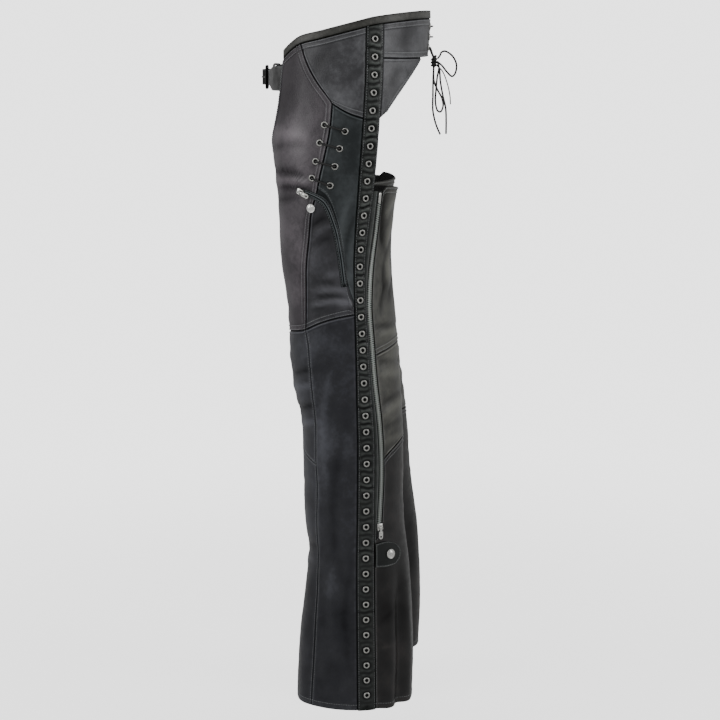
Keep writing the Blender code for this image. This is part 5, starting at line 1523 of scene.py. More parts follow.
class CHAPS_OT_side_zips(bpy.types.Operator):
    """Lay the zip tapes down the legs, with their teeth, sliders and pulls"""
    bl_idname = "chaps.side_zips"
    bl_label = "Side Zips"

    def execute(self, context):
        pitch = context.scene.chaps_sizes.tooth_pitch
        tooth = tooth_mesh(pitch)
        slider, pull = slider_body(), pull_tab(PULL_LENGTHS["side_zip"])
        block((5.6, 15.0, 2.2), bevel=0.6)
        stop_plate = taken_mesh()
        rise = np.linspace(0.0, 1.0, 150)[:, None]
        inside = TEETH_HALF_WIDTH + TAPE_MARGIN
        for leg_name, leg in LEGS:
            # The tape, tucked under the strip and the back panels
            share = np.array((0.0, 0.25, 0.5, 0.7, 0.8, 0.9, 0.97, 1.0))[None]
            levels = zip_levels(rise, share)
            left = strip_line(levels, 1)[0] - 1.0
            right = zip_line(levels, inside)[0] + 1.4
            grid = np.stack((left + (right - left) * share, levels), axis=-1)
            from_edge = zip_line(levels, inside - 0.2)[0] - grid[..., 0]
            drop = np.interp(from_edge, (0.0, 0.5, 1.4), (-2.4, -1.6, -0.7))
            wall_piece("side_zip_tape", leg_name, leg, grid, drop, drop - 1.0, "tape",
                       "side_zip")
            # A leather placket between the strip and the teeth
            across = np.array((0.0, 0.3, 0.55, 0.75, 0.88, 0.96, 1.0))[None]
            levels = zip_levels(rise, 0.0 * across) + 0.6
            left = strip_line(levels, 1)[0] - 1.2
            right = np.maximum(zip_line(levels, -TEETH_HALF_WIDTH - 0.1)[0], left + 1.6)
            grid = np.stack((left + (right - left) * across, levels), axis=-1)
            lifts = np.interp(across, (0.0, 0.3, 0.75, 0.88, 1.0), (-1.5, 0.1, 0.35, 0.5, -0.4))
            lifts = lifts + 0.25 * soft_noise(plain_grid(grid), 9.0, 4.0 * leg)
            # Tone follows the lift: darker where the placket tucks under as painted shade, lighter on its
            # ridge as painted highlight
            _, outer = wall_piece("zip_placket", leg_name, leg, grid, lifts, -1.9, "strip",
                                  wear=np.clip(0.45 + 0.4 * lifts, 0.0, 1.0))
            sew(leg_name, outer, grid_normals(grid), (slice(None), 3))
            count = int((ZIP_TOP_Z - 3.0 - ZIP_SLIDER_Z) / (0.5 * pitch))
            heights = ZIP_SLIDER_Z + 2.0 + np.arange(count) * 0.5 * pitch
            places = []
            for index, z in enumerate(heights[heights < ZIP_TOP_Z - 17.0]):
                place = stand(float(zip_line(z)[0]), float(z), 0.15)
                places.append(place if index % 2 else place @ Matrix.Rotation(math.pi, 4, "Z"))
            top = stand(float(zip_line(ZIP_TOP_Z - 9.0)[0]), ZIP_TOP_Z - 9.0, 0.2)
            stop = copies(leg_name + "_side_zip_stop", stop_plate, [top], leg)
            finish_piece(stop, "nickel")
            teeth = copies(leg_name + "_side_zip_teeth", tooth, places, leg)
            finish_piece(teeth, "teeth")
            hang_pull(leg_name, leg, "side_zip", slider, pull, side_zip_places())
        return {"FINISHED"}


# ---------------------------------------------------------------- pockets, tabs, laces over the thigh

# The two lips of the pocket zip, from the inner edge to the outer: share of the width and height
WELT_ROWS = ((0.0, 0.7), (0.02, 1.3), (0.08, 1.8), (0.15, 1.2), (0.20, 0.9), (0.28, 2.1), (0.36, 2.4),
             (0.42, 1.0), (0.46, 0.8), (0.50, 1.0), (0.56, 2.3), (0.63, 2.5), (0.70, 2.1), (0.76, 0.9),
             (0.80, 0.9), (0.88, 1.9), (0.96, 1.6), (1.0, 0.7))


class CHAPS_OT_pockets(bpy.types.Operator):
    """Sew on the curved pocket lips with their sliders, and the tabs below the side zips"""
    bl_idname = "chaps.pockets"
    bl_label = "Pockets and Tabs"

    def execute(self, context):
        slider, pull = slider_body(), pull_tab(PULL_LENGTHS["pocket"])
        low, high = side_line(WELT_INNER, 90), side_line(WELT_OUTER, 90)
        share = np.array([row[0] for row in WELT_ROWS])
        grid = low[:, None] + (high - low)[:, None] * share[None, :, None]
        levels = np.array([row[1] for row in WELT_ROWS])
        for leg_name, leg in LEGS:
            wave = soft_noise(plain_grid(grid), 16.0, 8.0 * leg)
            ends = np.clip(np.minimum(np.arange(91), np.arange(91)[::-1]) / 3.0, 0.0, 1.0)[:, None]
            lifts = 0.6 + (levels[None] - 0.6 + 0.18 * wave) * ends
            # Tone follows the lips' height: lighter on their crowns as painted highlight, darker in the
            # hollows between as painted shade
            _, outer = wall_piece("pocket_lips", leg_name, leg, grid, lifts, LIFT, "side",
                                  "pocket_welt", np.clip(0.4 + 0.7 * (lifts - 1.6), 0.0, 1.0))
            for column in (3, 14):
                sew(leg_name, outer, grid_normals(grid), (slice(None), column))
            hang_pull(leg_name, leg, "pocket", slider, pull, pocket_places())
            make_tab(leg_name, leg)
        turned(stud_profile(6.8, 3.4), 32)
        pocket_stud = taken_mesh()
        turned(stud_profile(7.6, 3.2), 32)
        tab_stud = taken_mesh()
        studs = (("pocket_snap", pocket_stud, "stud", POCKET_SNAP, LIFT),
                 ("tab_snap", tab_stud, "nickel", TAB_SNAP, LIFT + WALL + SEAM_GAP))
        for leg_name, leg in LEGS:
            for name, mesh, finish, spot, lift in studs:
                angle, z = (float(value) for value in side(*spot))
                cap = copies(leg_name + "_" + name + "_cap", mesh, [stand(angle, z, lift)], leg)
                finish_piece(cap, finish, replaces=(leg_name + "_" + name,))
        return {"FINISHED"}


def sew(leg_name, outer, normals, pick):
    """Stitches along one line of a wall's outer face."""
    pitch = bpy.context.scene.chaps_sizes.stitch_pitch
    add_stitches(leg_name, outer[pick] + normals[pick] * 0.1, normals[pick], pitch)


def make_tab(leg_name, leg):
    """The rounded tab below the zip, stitched round its edge."""
    start_top, start_bottom = (np.array(strip_line(z, 1)) + (0.6, 0.0) for z in TAB_START)
    top = line([start_top, side(*TAB_TOP), side(*TAB_END[-1])], 16)
    bottom = line([start_bottom, side(*TAB_BOTTOM), side(*TAB_END[0])], 16)
    right = side_line(TAB_END, 16)
    left = line([start_bottom, start_top], 16)
    marks = (0.0, 0.35, 0.9, 2.0, 3.0, 4.2)
    grid = resampled(coons(bottom, right, top, left), marks, marks, 2.4)
    grid = resampled(grid.transpose(1, 0, 2), marks, marks, 2.4).transpose(1, 0, 2)
    plain = plain_grid(grid)
    height = np.interp(border_distance(plain), marks, (-0.8, 0.1, 0.9, 0.1, 0.15, 0.0))
    lifts = LIFT + WALL + height + 0.12 * soft_noise(plain, 12.0, 3.0 * leg)
    # Tone follows the edge relief: lighter on the rim as painted highlight, darker in the edge groove as
    # painted shade
    _, outer = wall_piece("snap_tab_leather", leg_name, leg, grid, lifts, LIFT, "strip",
                          "snap_tab", np.clip(0.32 + 0.5 * height, 0.0, 1.0))
    for pick in ((slice(3, -3), 3), (-4, slice(3, -3)), (slice(-4, 2, -1), -4), (3, slice(-4, 2, -1))):
        sew(leg_name, outer, grid_normals(grid), pick)


def lace_curve(name, points, radius, leg=1):
    """A lace as a round curve through points in millimetres."""
    points = on_leg(points, leg)
    curve = bpy.data.curves.new(name, "CURVE")
    curve.dimensions = "3D"
    curve.bevel_depth = radius * MM
    curve.bevel_resolution = 3
    curve.use_fill_caps = True
    spline = curve.splines.new("POLY")
    spline.points.add(len(points) - 1)
    spline.points.foreach_set("co", np.concatenate((points * MM, np.ones((len(points), 1))), axis=1).ravel())
    spline.use_smooth = True
    return link(name, curve)


def smooth_route(knots, spacing):
    """A smooth route through 3-D knots in millimetres, a point every spacing."""
    knots = np.array([tuple(knot) for knot in knots], float)
    stretch = run_along(knots)
    at = np.linspace(0.0, stretch[-1], max(int(round(stretch[-1] / spacing)), 3) + 1)
    return np.stack([curve_at(stretch, knots[:, axis], at) for axis in range(3)], axis=-1)


def between(first, second, share):
    return tuple(low + (high - low) * share for low, high in zip(first, second))


# The thigh lace over the seam, in an eyelet and behind the leather
LACE_OVER = 3.4
LACE_IN_HOLE = 1.4
LACE_BEHIND = -5.0
# How far the dark sheet behind the laced seam reaches past its eyelets, and its lifts at its border and
# inside; the sheet keeps the eyelets' holes dark
DARK_SHEET_MARGIN = 10.0
DARK_SHEET_LIFTS = (-WALL - 0.7, -7.4)


def thigh_lace_route():
    """Over the seam from eyelet to eyelet, and on to the next pair behind the leather."""
    knots, before = [], None
    for front, rear in zip(EYELETS_FRONT, EYELETS_SIDE):
        first, last = side(*front), side(*rear)
        if before is not None:
            knots.append(skin(*between(before, first, 0.5), LACE_BEHIND - 0.6))
        knots += [skin(*first, LACE_BEHIND), skin(*first, LACE_IN_HOLE)]
        knots += [skin(*between(first, last, share), LACE_OVER) for share in (0.08, 0.5, 0.92)]
        knots += [skin(*last, LACE_IN_HOLE), skin(*last, LACE_BEHIND)]
        before = last
    return rounded_route(knots, 1.6)


def laced_facing():
    """Grid and lifts of the dark sheet that closes the laced seam's eyelets from behind and keeps their holes
    dark.
    """
    edges = []
    for eyelets, step in ((EYELETS_FRONT, -DARK_SHEET_MARGIN), (EYELETS_SIDE, DARK_SHEET_MARGIN)):
        (top_y, top_z), (low_y, low_z) = eyelets[0], eyelets[-1]
        knots = ((low_y, low_z - DARK_SHEET_MARGIN), *eyelets[::-1], (top_y, top_z + DARK_SHEET_MARGIN))
        edges.append(side_line([(y + step, z) for y, z in knots], 40))
    share = np.linspace(0.0, 1.0, 21)[None, :, None]
    grid = edges[0][:, None] + (edges[1] - edges[0])[:, None] * share
    return grid, np.interp(border_distance(plain_grid(grid)), (0.0, 5.0), DARK_SHEET_LIFTS)


class CHAPS_OT_thigh_laces(bpy.types.Operator):
    """Lace the thigh seams and set the eyelets of the thighs and the back yoke"""
    bl_idname = "chaps.thigh_laces"
    bl_label = "Thigh Laces"

    def execute(self, context):
        sizes = context.scene.chaps_sizes
        turned(ring_profile(sizes.eyelet_radius + 0.3, 2.9, 1.2, -1.9), 24)
        ring = taken_mesh()
        route = thigh_lace_route()
        grid, depths = laced_facing()
        spots = [side(y, z) for y, z in EYELETS_FRONT + EYELETS_SIDE]
        spots += [facing(x, z, back=True) for x, z in EYELETS_YOKE]
        places = [stand(float(angle), float(z), 0.25) for angle, z in spots]
        rod(3.4, 14.0, sides=20)
        drill = taken_mesh()
        for leg_name, leg in LEGS:
            for panel, number in (("front_thigh", 0), ("side_thigh", 4), ("back_yoke", 8)):
                drills = copies(leg_name + "_drills", drill, places[number:number + 4], leg)
                pierce(bpy.data.objects[leg_name + "_" + panel + "_leather"], drills)
            rings = copies(leg_name + "_laced_eyelets", ring, places, leg)
            finish_piece(rings, "eyelet")
            wall_piece("laced_facing", leg_name, leg, grid, depths, depths - 0.8, "lining")
            cord = lace_curve(leg_name + "_thigh_lace", route, 1.6, leg)
            finish_piece(cord, "lace", replaces=(leg_name + "_pocket_lace",))
        return {"FINISHED"}


def pierce(piece, drills):
    """Cuts a piece with rods, which are taken away."""
    deselect()
    piece.select_set(True)
    bpy.context.view_layer.objects.active = piece
    apply_modifier("BOOLEAN", object=drills, operation="DIFFERENCE", solver="EXACT")
    bpy.data.objects.remove(drills)


def rounded_route(knots, radius):
    """Straight runs between knots with their corners rounded."""
    knots = [Vector(tuple(knot)) for knot in knots]
    points = [knots[0]]
    for before, here, after in zip(knots, knots[1:], knots[2:]):
        back, ahead = before - here, after - here
        reach = min(radius, 0.45 * back.length, 0.45 * ahead.length)
        start, end = here + back.normalized() * reach, here + ahead.normalized() * reach
        for share in (0.0, 0.25, 0.5, 0.75, 1.0):
            points.append(start.lerp(here, share).lerp(here.lerp(end, share), share))
    return [tuple(point) for point in points + [knots[-1]]]


# ---------------------------------------------------------------- belt

BELT_MIDDLE_Z = -121.5
BELT_HALF_HEIGHT = 18.5
BELT_END_HALF_HEIGHT = 12.0
BELT_TAPER = (45.0, 80.0)
BELT_THICKNESS = 2.5
BELT_HALF_WIDTHS = (187.0, 210.0)
BELT_DEPTH = 121.0
BELT_CENTRE_Y = -2.5
BELT_OUT = 1.35
BELT_UNDER = ((122.0, -5.2), (108.0, -4.4), (98.0, -1.5))
BUCKLE_OUT = 5.1
BUCKLE_RADIUS = 2.2
BUCKLE_HALF_WIDTH = 14.0
BUCKLE_HALF_HEIGHT = 16.5
BUCKLE_CORNER = 5.0
FOLD_RADIUS = 3.75
TONGUE = ((-5.5, 13.6), (0.0, 10.8), (5.0, 8.7), (10.0, 7.6), (14.5, 7.2), (17.0, 6.6))
TONGUE_RADIUS = 1.3
END_SHARE = 0.6
KEEPER_ENDS = (-77.0, -67.0)
KEEPER_INNER = (-0.5, 6.3)
KEEPER_THICKNESS = 1.6
KEEPER_CLEARANCE = 0.4


def belt_point(x, out, z):
    """Points on the belt's front curve, moved out by its plan normal."""
    x, out, z = np.broadcast_arrays(*(np.asarray(value, float) for value in (x, out, z)))
    share = (BELT_MIDDLE_Z + BELT_HALF_HEIGHT - z) / (2 * BELT_HALF_HEIGHT)
    half_width = BELT_HALF_WIDTHS[0] + (BELT_HALF_WIDTHS[1] - BELT_HALF_WIDTHS[0]) * share
    rise = np.sqrt(1.0 - (x / half_width) ** 2)
    slope = x * BELT_DEPTH / (half_width ** 2 * rise)
    size = np.hypot(slope, 1.0)
    return np.stack((x + slope / size * out, BELT_CENTRE_Y - BELT_DEPTH * rise - out / size, z), axis=-1)


def belt_half_height(reach):
    """Half the height of a strap at distances from the middle, toward its own leg."""
    near, far = BELT_TAPER
    share = np.clip((reach - near) / (far - near), 0.0, 1.0)
    smooth = share * share * (3.0 - 2.0 * share)
    return BELT_END_HALF_HEIGHT + (BELT_HALF_HEIGHT - BELT_END_HALF_HEIGHT) * smooth


def strap(name, path, leg_side):
    """A belt strap with stitched edges, along (x, out) knots from under a front panel (left 1, right -1)."""
    knots = np.array([(x, out, 0.0) for x, out in path])
    route = smooth_route(knots, 2.2)[:, :2]
    marks = np.array((0.0, 0.25, 0.8, 1.8, 2.8, 3.8, 6.0))
    half_height = belt_half_height(leg_side * route[:, :1])
    levels = np.concatenate((marks - half_height, (half_height - 11.0) * np.linspace(-1.0, 1.0, 4),
                             half_height - marks[::-1]), axis=1)
    edge = half_height - np.abs(levels)
    thick = 0.5 * BELT_THICKNESS + np.interp(edge, marks, (-1.0, -0.45, -0.05, -0.2, 0.0, 0.0, 0.0))
    middle = belt_point(route[:, :1], route[:, 1:], BELT_MIDDLE_Z + levels)
    run = np.gradient(middle, axis=0)
    run /= np.linalg.norm(run, axis=-1, keepdims=True)
    across = np.stack((-run[..., 1], run[..., 0], np.zeros_like(run[..., 0])), axis=-1)
    steps = np.arange(len(route))
    taper = np.clip(np.minimum(steps, steps[::-1]) / 1.5, 0.35, 1.0)[:, None, None]
    outer, inner = (middle + sign * across * (thick[..., None] * taper) for sign in (1.0, -1.0))
    # Tone of the belt: random patches, and darker within about 30 mm of the buckle as painted shade
    wear = 0.5 + 0.2 * soft_noise(middle, 9.0, 2.0) - 0.5 * np.exp(-(middle[..., 0] / 30.0) ** 2)
    wear = np.clip(wear, 0.0, 1.0)
    mesh = mesh_from(name, np.concatenate((outer.reshape(-1, 3), inner.reshape(-1, 3))),
                     wall_faces(*wear.shape), 1, np.concatenate((wear.ravel(), wear.ravel())))
    finish_piece(link(name + "_leather", mesh), "belt", replaces=(name,))
    pitch = bpy.context.scene.chaps_sizes.stitch_pitch
    for column in (3, -4):
        for face, sign in ((outer, 1.0), (inner, -1.0)):
            add_stitches("belt", face[1:-1, column], sign * across[1:-1, column], pitch)


class CHAPS_OT_belt(bpy.types.Operator):
    """Make the front belt with its buckle and keeper"""
    bl_idname = "chaps.belt"
    bl_label = "Belt"

    def execute(self, context):
        right = [(-x, out) for x, out in BELT_UNDER] + [(x, BELT_OUT) for x in (-85, -70, -55, -40, -28, -18)]
        for turn in np.radians(np.linspace(-90.0, 90.0, 9)):
            right.append((-BUCKLE_HALF_WIDTH + FOLD_RADIUS * math.cos(turn),
                          BUCKLE_OUT + FOLD_RADIUS * math.sin(turn)))
        right += [(-20, BUCKLE_OUT + 3.0), (-27, 4.9), (-33, 4.25), (-48, 4.25)]
        strap("belt_right_strap", right, -1)
        left = list(BELT_UNDER) + [(x, BELT_OUT) for x in (85, 70, 55, 40, 28, 16)]
        left += [(10, 1.6), (5, 3.2), (-1, 7.0), (-6.5, 10.4), (-12, 12.2), (-17, 12.1), (-21, 11.3),
                 (-26, 9.3), (-33, 7.4), (-48, 7.4), (-56, 4.9), (-64, 4.35), (-82, 4.35), (-98, 4.35)]
        strap("belt_left_strap", left, 1)
        self.make_buckle()
        self.make_keeper()
        return {"FINISHED"}

    def make_buckle(self):
        """A wire frame stretched from a ring, and a tongue drawn out of a disc."""
        deselect()
        segments = 32
        bpy.ops.mesh.primitive_torus_add(major_segments=segments, major_radius=BUCKLE_CORNER * MM,
                                         minor_segments=12, minor_radius=BUCKLE_RADIUS * MM,
                                         rotation=(0, 0, math.pi / segments))
        apply_place()
        edit_mode()
        for axis, half in ((0, BUCKLE_HALF_WIDTH), (1, BUCKLE_HALF_HEIGHT)):
            for sign in (-1, 1):
                select_vertices(lambda place: place[axis] * sign > 0)
                shift = [0.0, 0.0, 0.0]
                shift[axis] = sign * (half - BUCKLE_CORNER) * MM
                bpy.ops.transform.translate(value=shift)
        object_mode()
        upright = Matrix.Rotation(math.pi / 2, 4, "X")
        upright.translation = Vector(belt_point(0.0, BUCKLE_OUT, BELT_MIDDLE_Z)) * MM
        buckle = copies("belt_buckle_frame", taken_mesh(), [upright])
        finish_piece(buckle, "black_metal", replaces=("belt_buckle",))
        route = smooth_route([belt_point(x, out, BELT_MIDDLE_Z) for x, out in TONGUE], 2.0)
        drawn_bar(route, TONGUE_RADIUS, 12)
        tongue = copies("belt_buckle_tongue", taken_mesh(), [Matrix()])
        finish_piece(tongue, "black_metal")

    def make_keeper(self):
        """A leather loop round both straps."""
        x, out, depth = 0.5 * sum(KEEPER_ENDS), 0.5 * sum(KEEPER_INNER), KEEPER_INNER[1] - KEEPER_INNER[0]
        width = KEEPER_ENDS[1] - KEEPER_ENDS[0]
        reach = float(belt_half_height(-x)) + KEEPER_CLEARANCE
        loop = block((width, depth + 2 * KEEPER_THICKNESS, 2 * (reach + KEEPER_THICKNESS)), bevel=1.2)
        combined(loop, [block((width + 4.0, depth, 2 * reach), bevel=0.6)], "DIFFERENCE")
        bpy.context.view_layer.objects.active = loop
        edit_mode()
        for sign, end in zip((-1, 1), KEEPER_ENDS):
            growth = (float(belt_half_height(-end)) + KEEPER_CLEARANCE) / reach
            select_vertices(lambda place: place.x * sign > 0.1)
            resize((1.0, 1.0, growth), 0, 0, 0)
        object_mode()
        round_edges(0.3)
        low, high = (belt_point(x, out, BELT_MIDDLE_Z + sign * BELT_HALF_HEIGHT) for sign in (-1, 1))
        before, after = (belt_point(x + step, out, BELT_MIDDLE_Z) for step in (-1, 1))
        up, along = Vector(high - low).normalized(), Vector(after - before).normalized()
        turned_out = up.cross(along).normalized()
        place = matrix_of(along, turned_out, along.cross(turned_out),
                          Vector(belt_point(x, out, BELT_MIDDLE_Z)) * MM)
        keeper = copies("belt_keeper_loop", taken_mesh(), [place])
        finish_piece(keeper, "belt", replaces=("belt_keeper",))


def drawn_bar(route, radius, sides):
    """A bar drawn out of a disc along a route in millimetres, its ends rounded."""
    steps = [Vector(tuple(step)) * MM for step in np.diff(route, axis=0)]
    at = Vector(tuple(route[0])) * MM
    deselect()
    bpy.ops.mesh.primitive_circle_add(vertices=sides, radius=END_SHARE * radius * MM, fill_type="NGON",
                                      location=at, rotation=steps[0].to_track_quat("Z", "Y").to_euler())
    apply_place()
    edit_mode()
    select_all()
    for index, step in enumerate(steps):
        at = at + step
        extrude(*step)
        growth = 1.0 / END_SHARE if index == 0 else END_SHARE if index == len(steps) - 1 else 1.0
        resize((growth,) * 3, *at)
    select_all()
    bpy.ops.mesh.normals_make_consistent(inside=False)
    object_mode()


def select_vertices(test):
    edit = bmesh.from_edit_mesh(bpy.context.object.data)
    for vertex in edit.verts:
        vertex.select_set(bool(test(vertex.co / MM)))
    edit.select_flush_mode()
    bmesh.update_edit_mesh(bpy.context.object.data)


# ---------------------------------------------------------------- back lace

KNOT = (0.0, 131.0, -98.0)
KNOT_SIDE = (6.6, 131.5, -95.0)
FREE_CORDS = (
    # name, far end, radius, knots
    ("bow_loop_left", "object", 1.5,
     ((1.6, 136.9, -93), (5, 140, -88.5), (13, 142, -83.5), (23, 148, -82), (30, 158, -89), (33, 164, -101),
      (31, 163, -114), (26, 158, -120), (19, 150, -113), (12, 143, -104), (3.5, 136, -98))),
    ("bow_loop_right", "object", 1.5,
     ((-6.6, 131, -101), (-10, 131, -108), (-13, 131, -114), (-21, 132, -128), (-28, 138, -142),
      (-30, 145, -155), (-28, 147, -167), (-22, 143, -176), (-15, 137, -173), (-11, 134, -158),
      (-9, 135, -140), (-7, 136.5, -122), (-6.5, 139, -107), (-3.8, 136.7, -99.5))),
    ("lace_end_long", "bare", 1.5,
     ((-2.5, 130.5, -109), (-5, 130, -126), (-7, 130, -149), (-8, 130, -172), (-9, 133, -188),
      (-10, 137, -200), (-11, 142, -211))),
    ("lace_end_middle", "bare", 1.5,
     ((3.3, 137, -102), (5, 139.3, -109), (7, 141, -129), (10, 145, -151), (12, 149, -168),
      (13, 150, -186), (13, 150, -209))),
    ("lace_end_thin", "bare", 1.0,
     ((5.6, 132.2, -101.5), (9, 136.5, -105), (14, 144, -113), (20, 151, -131), (23, 155, -149),
      (24, 156, -163))),
)


def yoke_hole(index, mirror):
    """Points through one yoke eyelet: inside, in the hole, and outside toward the gap."""
    x, z = EYELETS_YOKE[index]
    spot, toward = facing(x, z, back=True), facing(x - 2.4, z, back=True)
    points = (skin(*spot, -5.0), skin(*spot, 1.4), skin(*toward, 3.0))
    return [tuple(point * (mirror, 1.0, 1.0)) for point in points]


class CHAPS_OT_back_lace(bpy.types.Operator):
    """Lace the back yokes together and tie the bow"""
    bl_idname = "chaps.back_lace"
    bl_label = "Back Lace"

    def execute(self, context):
        for name, far_end, radius, knots in FREE_CORDS:
            route = smooth_route(knots, 1.8)
            piece = lace_curve(name + "_cord", route, radius)
            finish_piece(piece, "lace", replaces=(name,))
        left, right = ([yoke_hole(index, mirror) for index in range(3)] for mirror in (1, -1))

        def gap_middle(index):
            return [(0.0, 128.5, EYELETS_YOKE[index][1])]

        bars = [(-KNOT_SIDE[0],) + KNOT_SIDE[1:]] + right[2][::-1] + right[1] + gap_middle(1)
        bars += left[1][::-1] + left[0] + gap_middle(0) + right[0][::-1]
        for name, knots in (("back_lace_bars", bars), ("back_lace_side", [KNOT_SIDE] + left[2][::-1])):
            piece = lace_curve(name + "_cord", rounded_route(knots, 2.0), 1.3)
            finish_piece(piece, "lace", replaces=(name,))
        turned(((0.6, -9.4), (2.4, -8.0), (3.6, -4.5), (4.0, 0.0), (3.7, 4.5), (2.4, 8.0), (0.6, 9.4)), 20)
        core = copies("lace_knot_core", taken_mesh(), [Matrix.Translation(Vector(KNOT) * MM)])
        finish_piece(core, "lace", replaces=("lace_knot",))
        turns = np.linspace(0.0, 3.4 * 2 * math.pi, 90)
        reach = 3.9 - 1.3 * np.abs(np.linspace(-1.0, 1.0, 90)) ** 3
        wraps = np.stack((reach * np.cos(turns), reach * np.sin(turns),
                          np.linspace(-7.6, 7.6, 90) + 1.6 * np.sin(turns)), axis=-1) + KNOT
        piece = lace_curve("lace_knot_wraps", wraps, 1.55)
        finish_piece(piece, "lace")
        return {"FINISHED"}


# ---------------------------------------------------------------- stitching

class CHAPS_OT_stitching(bpy.types.Operator):
    """Sew the topstitching along the seams"""
    bl_idname = "chaps.stitching"
    bl_label = "Topstitching"

    def execute(self, context):
        sizes = context.scene.chaps_sizes
        source = stitch_mesh(sizes.stitch_pitch, sizes.thread_radius)
        corners = np.array([vertex.co for vertex in source.vertices]) / MM
        faces = np.array([tuple(face.vertices) for face in source.polygons if len(face.vertices) == 4])
        caps = [tuple(face.vertices) for face in source.polygons if len(face.vertices) != 4]
        for leg_name, leg in LEGS + (("belt", 1),):
            stitches = np.concatenate(STITCHES[leg_name])
            centre, along, normal = stitches[:, 0], stitches[:, 1], stitches[:, 2]
            across = np.cross(normal, along)
            across /= np.linalg.norm(across, axis=-1, keepdims=True)
            up = np.cross(along, across)
            points = (centre[:, None] + corners[None, :, 0:1] * along[:, None]
                      + corners[None, :, 1:2] * across[:, None] + corners[None, :, 2:3] * up[:, None])
            starts = np.arange(len(stitches)) * len(corners)
            all_faces = (faces[None] + starts[:, None, None]).reshape(-1, 4).tolist()
            for cap in caps:
                all_faces += (np.array(cap)[None] + starts[:, None]).tolist()
            name = leg_name + "_topstitching"
            finish_piece(link(name, mesh_from(name, points, all_faces, leg)), "thread")
        return {"FINISHED"}


def stitch_mesh(pitch, radius):
    """One stitch: a short thread, thickest in its middle, that dips at both ends."""
    deselect()
    bpy.ops.mesh.primitive_cylinder_add(vertices=5, radius=radius * MM, depth=0.74 * pitch * MM,
                                        end_fill_type="NGON", rotation=(0.0, math.pi / 2, 0.0))
    apply_place()
    edit_mode()
    select_all()
    bpy.ops.mesh.bisect(plane_co=(0.0, 0.0, 0.0), plane_no=(1.0, 0.0, 0.0))
    object_mode()
    made = bpy.context.object
    for vertex in made.data.vertices:
        if abs(vertex.co.x) > 0.1 * pitch * MM:
            vertex.co.y *= 0.55
            vertex.co.z = 0.45 * vertex.co.z - 0.5 * radius * MM
    return taken_mesh()


# ---------------------------------------------------------------- stage

CAMERA_AT = Vector((2.82, 0.016, -0.06))
CAMERA_TO = Vector((0.12, 0.016, -0.5475))
CAMERA_LENS = 89.5
FLOOR_Z = -1.16
PAPER_GLOW = 1.7
ROOM_LIGHT = 0.5
PAPER_LIGHT = 2.7
LIGHTS = (
    # name, place, target, size, power
    ("front_window", (0.9, -2.6, 0.9), (0.1, 0.0, -0.25), (1.6, 2.4), 30.0),
    ("back_window", (0.7, 2.6, 0.7), (0.1, 0.0, -0.3), (1.4, 2.4), 26.0),
    ("key", (2.4, -0.9, 2.1), (0.1, 0.0, -0.25), (1.4, 1.0), 13.0),
)


def area_light(name, place, target, size, power):
    """A white rectangular light at a place, turned to a target."""
    light = bpy.data.lights.new(name, "AREA")
    light.shape = "RECTANGLE"
    light.size, light.size_y = size
    light.energy = power
    lamp = bpy.data.objects.new(name, light)
    bpy.context.scene.collection.objects.link(lamp)
    lamp.location = place
    lamp.rotation_euler = (Vector(target) - Vector(place)).to_track_quat("-Z", "Y").to_euler()


def studio_paper():
    """Pale backdrop paper, matt, that fades into the pale room behind it."""
    made, tree, shader, place = new_material("studio_paper")
    fibre = add_node(tree, "TexNoise", {"Vector": place, "Scale": 30.0, "Detail": 2.0}).outputs["Fac"]
    ray = add_node(tree, "LightPath").outputs["Is Camera Ray"]
    glow = add_node(tree, "Math", {0: ray, 1: PAPER_GLOW}, operation="MULTIPLY")
    away = add_node(tree, "VectorMath", {0: place}, operation="LENGTH").outputs["Value"]
    fade = add_node(tree, "MapRange", {"Value": away, "From Min": 0.5, "From Max": 2.0, "To Min": 1.0,
                                       "To Max": 0.0}, interpolation_type="SMOOTHSTEP")
    plug(shader, {"Base Color": ramp(tree, fibre, (0.3, linear("#e0e0e0")), (0.7, linear("#e4e4e4"))),
                  "Roughness": 0.9, "Emission Color": (1.0, 1.0, 1.0, 1.0),
                  "Emission Strength": glow.outputs[0], "Alpha": fade.outputs["Result"]})
    return made


class CHAPS_OT_stage(bpy.types.Operator):
    """Set up the camera, the floor and the studio lights"""
    bl_idname = "chaps.stage"
    bl_label = "Studio Stage"

    def execute(self, context):
        camera = bpy.data.objects.new("camera", bpy.data.cameras.new("camera"))
        context.scene.collection.objects.link(camera)
        camera.data.lens, camera.data.sensor_width = CAMERA_LENS, 36.0
        camera.location = CAMERA_AT
        camera.rotation_euler = (CAMERA_TO - CAMERA_AT).to_track_quat("-Z", "Y").to_euler()
        context.scene.camera = camera
        deselect()
        bpy.ops.mesh.primitive_circle_add(vertices=96, radius=9.0, fill_type="NGON", location=(0, 0, FLOOR_Z))
        floor = context.object
        floor.name = "floor"
        floor.data.materials.append(studio_paper())
        world = bpy.data.worlds.new("studio")
        context.scene.world = world
        world.use_nodes = True
        tree = world.node_tree
        background = tree.nodes["Background"]
        white = (1.0, 1.0, 1.0, 1.0)
        plug(background, {"Color": white, "Strength": ROOM_LIGHT})
        paper = add_node(tree, "Background", {"Color": white, "Strength": PAPER_LIGHT}).outputs["Background"]
        ray = add_node(tree, "LightPath").outputs["Is Camera Ray"]
        both = add_node(tree, "MixShader", {0: ray, 1: background.outputs["Background"], 2: paper})
        tree.links.new(both.outputs["Shader"], tree.nodes["World Output"].inputs["Surface"])
        for light in LIGHTS:
            area_light(*light)
        return {"FINISHED"}


# ---------------------------------------------------------------- settings

def size_property(name, description, default, low, high):
    return FloatProperty(name=name, description=description, default=default, min=low, max=high)


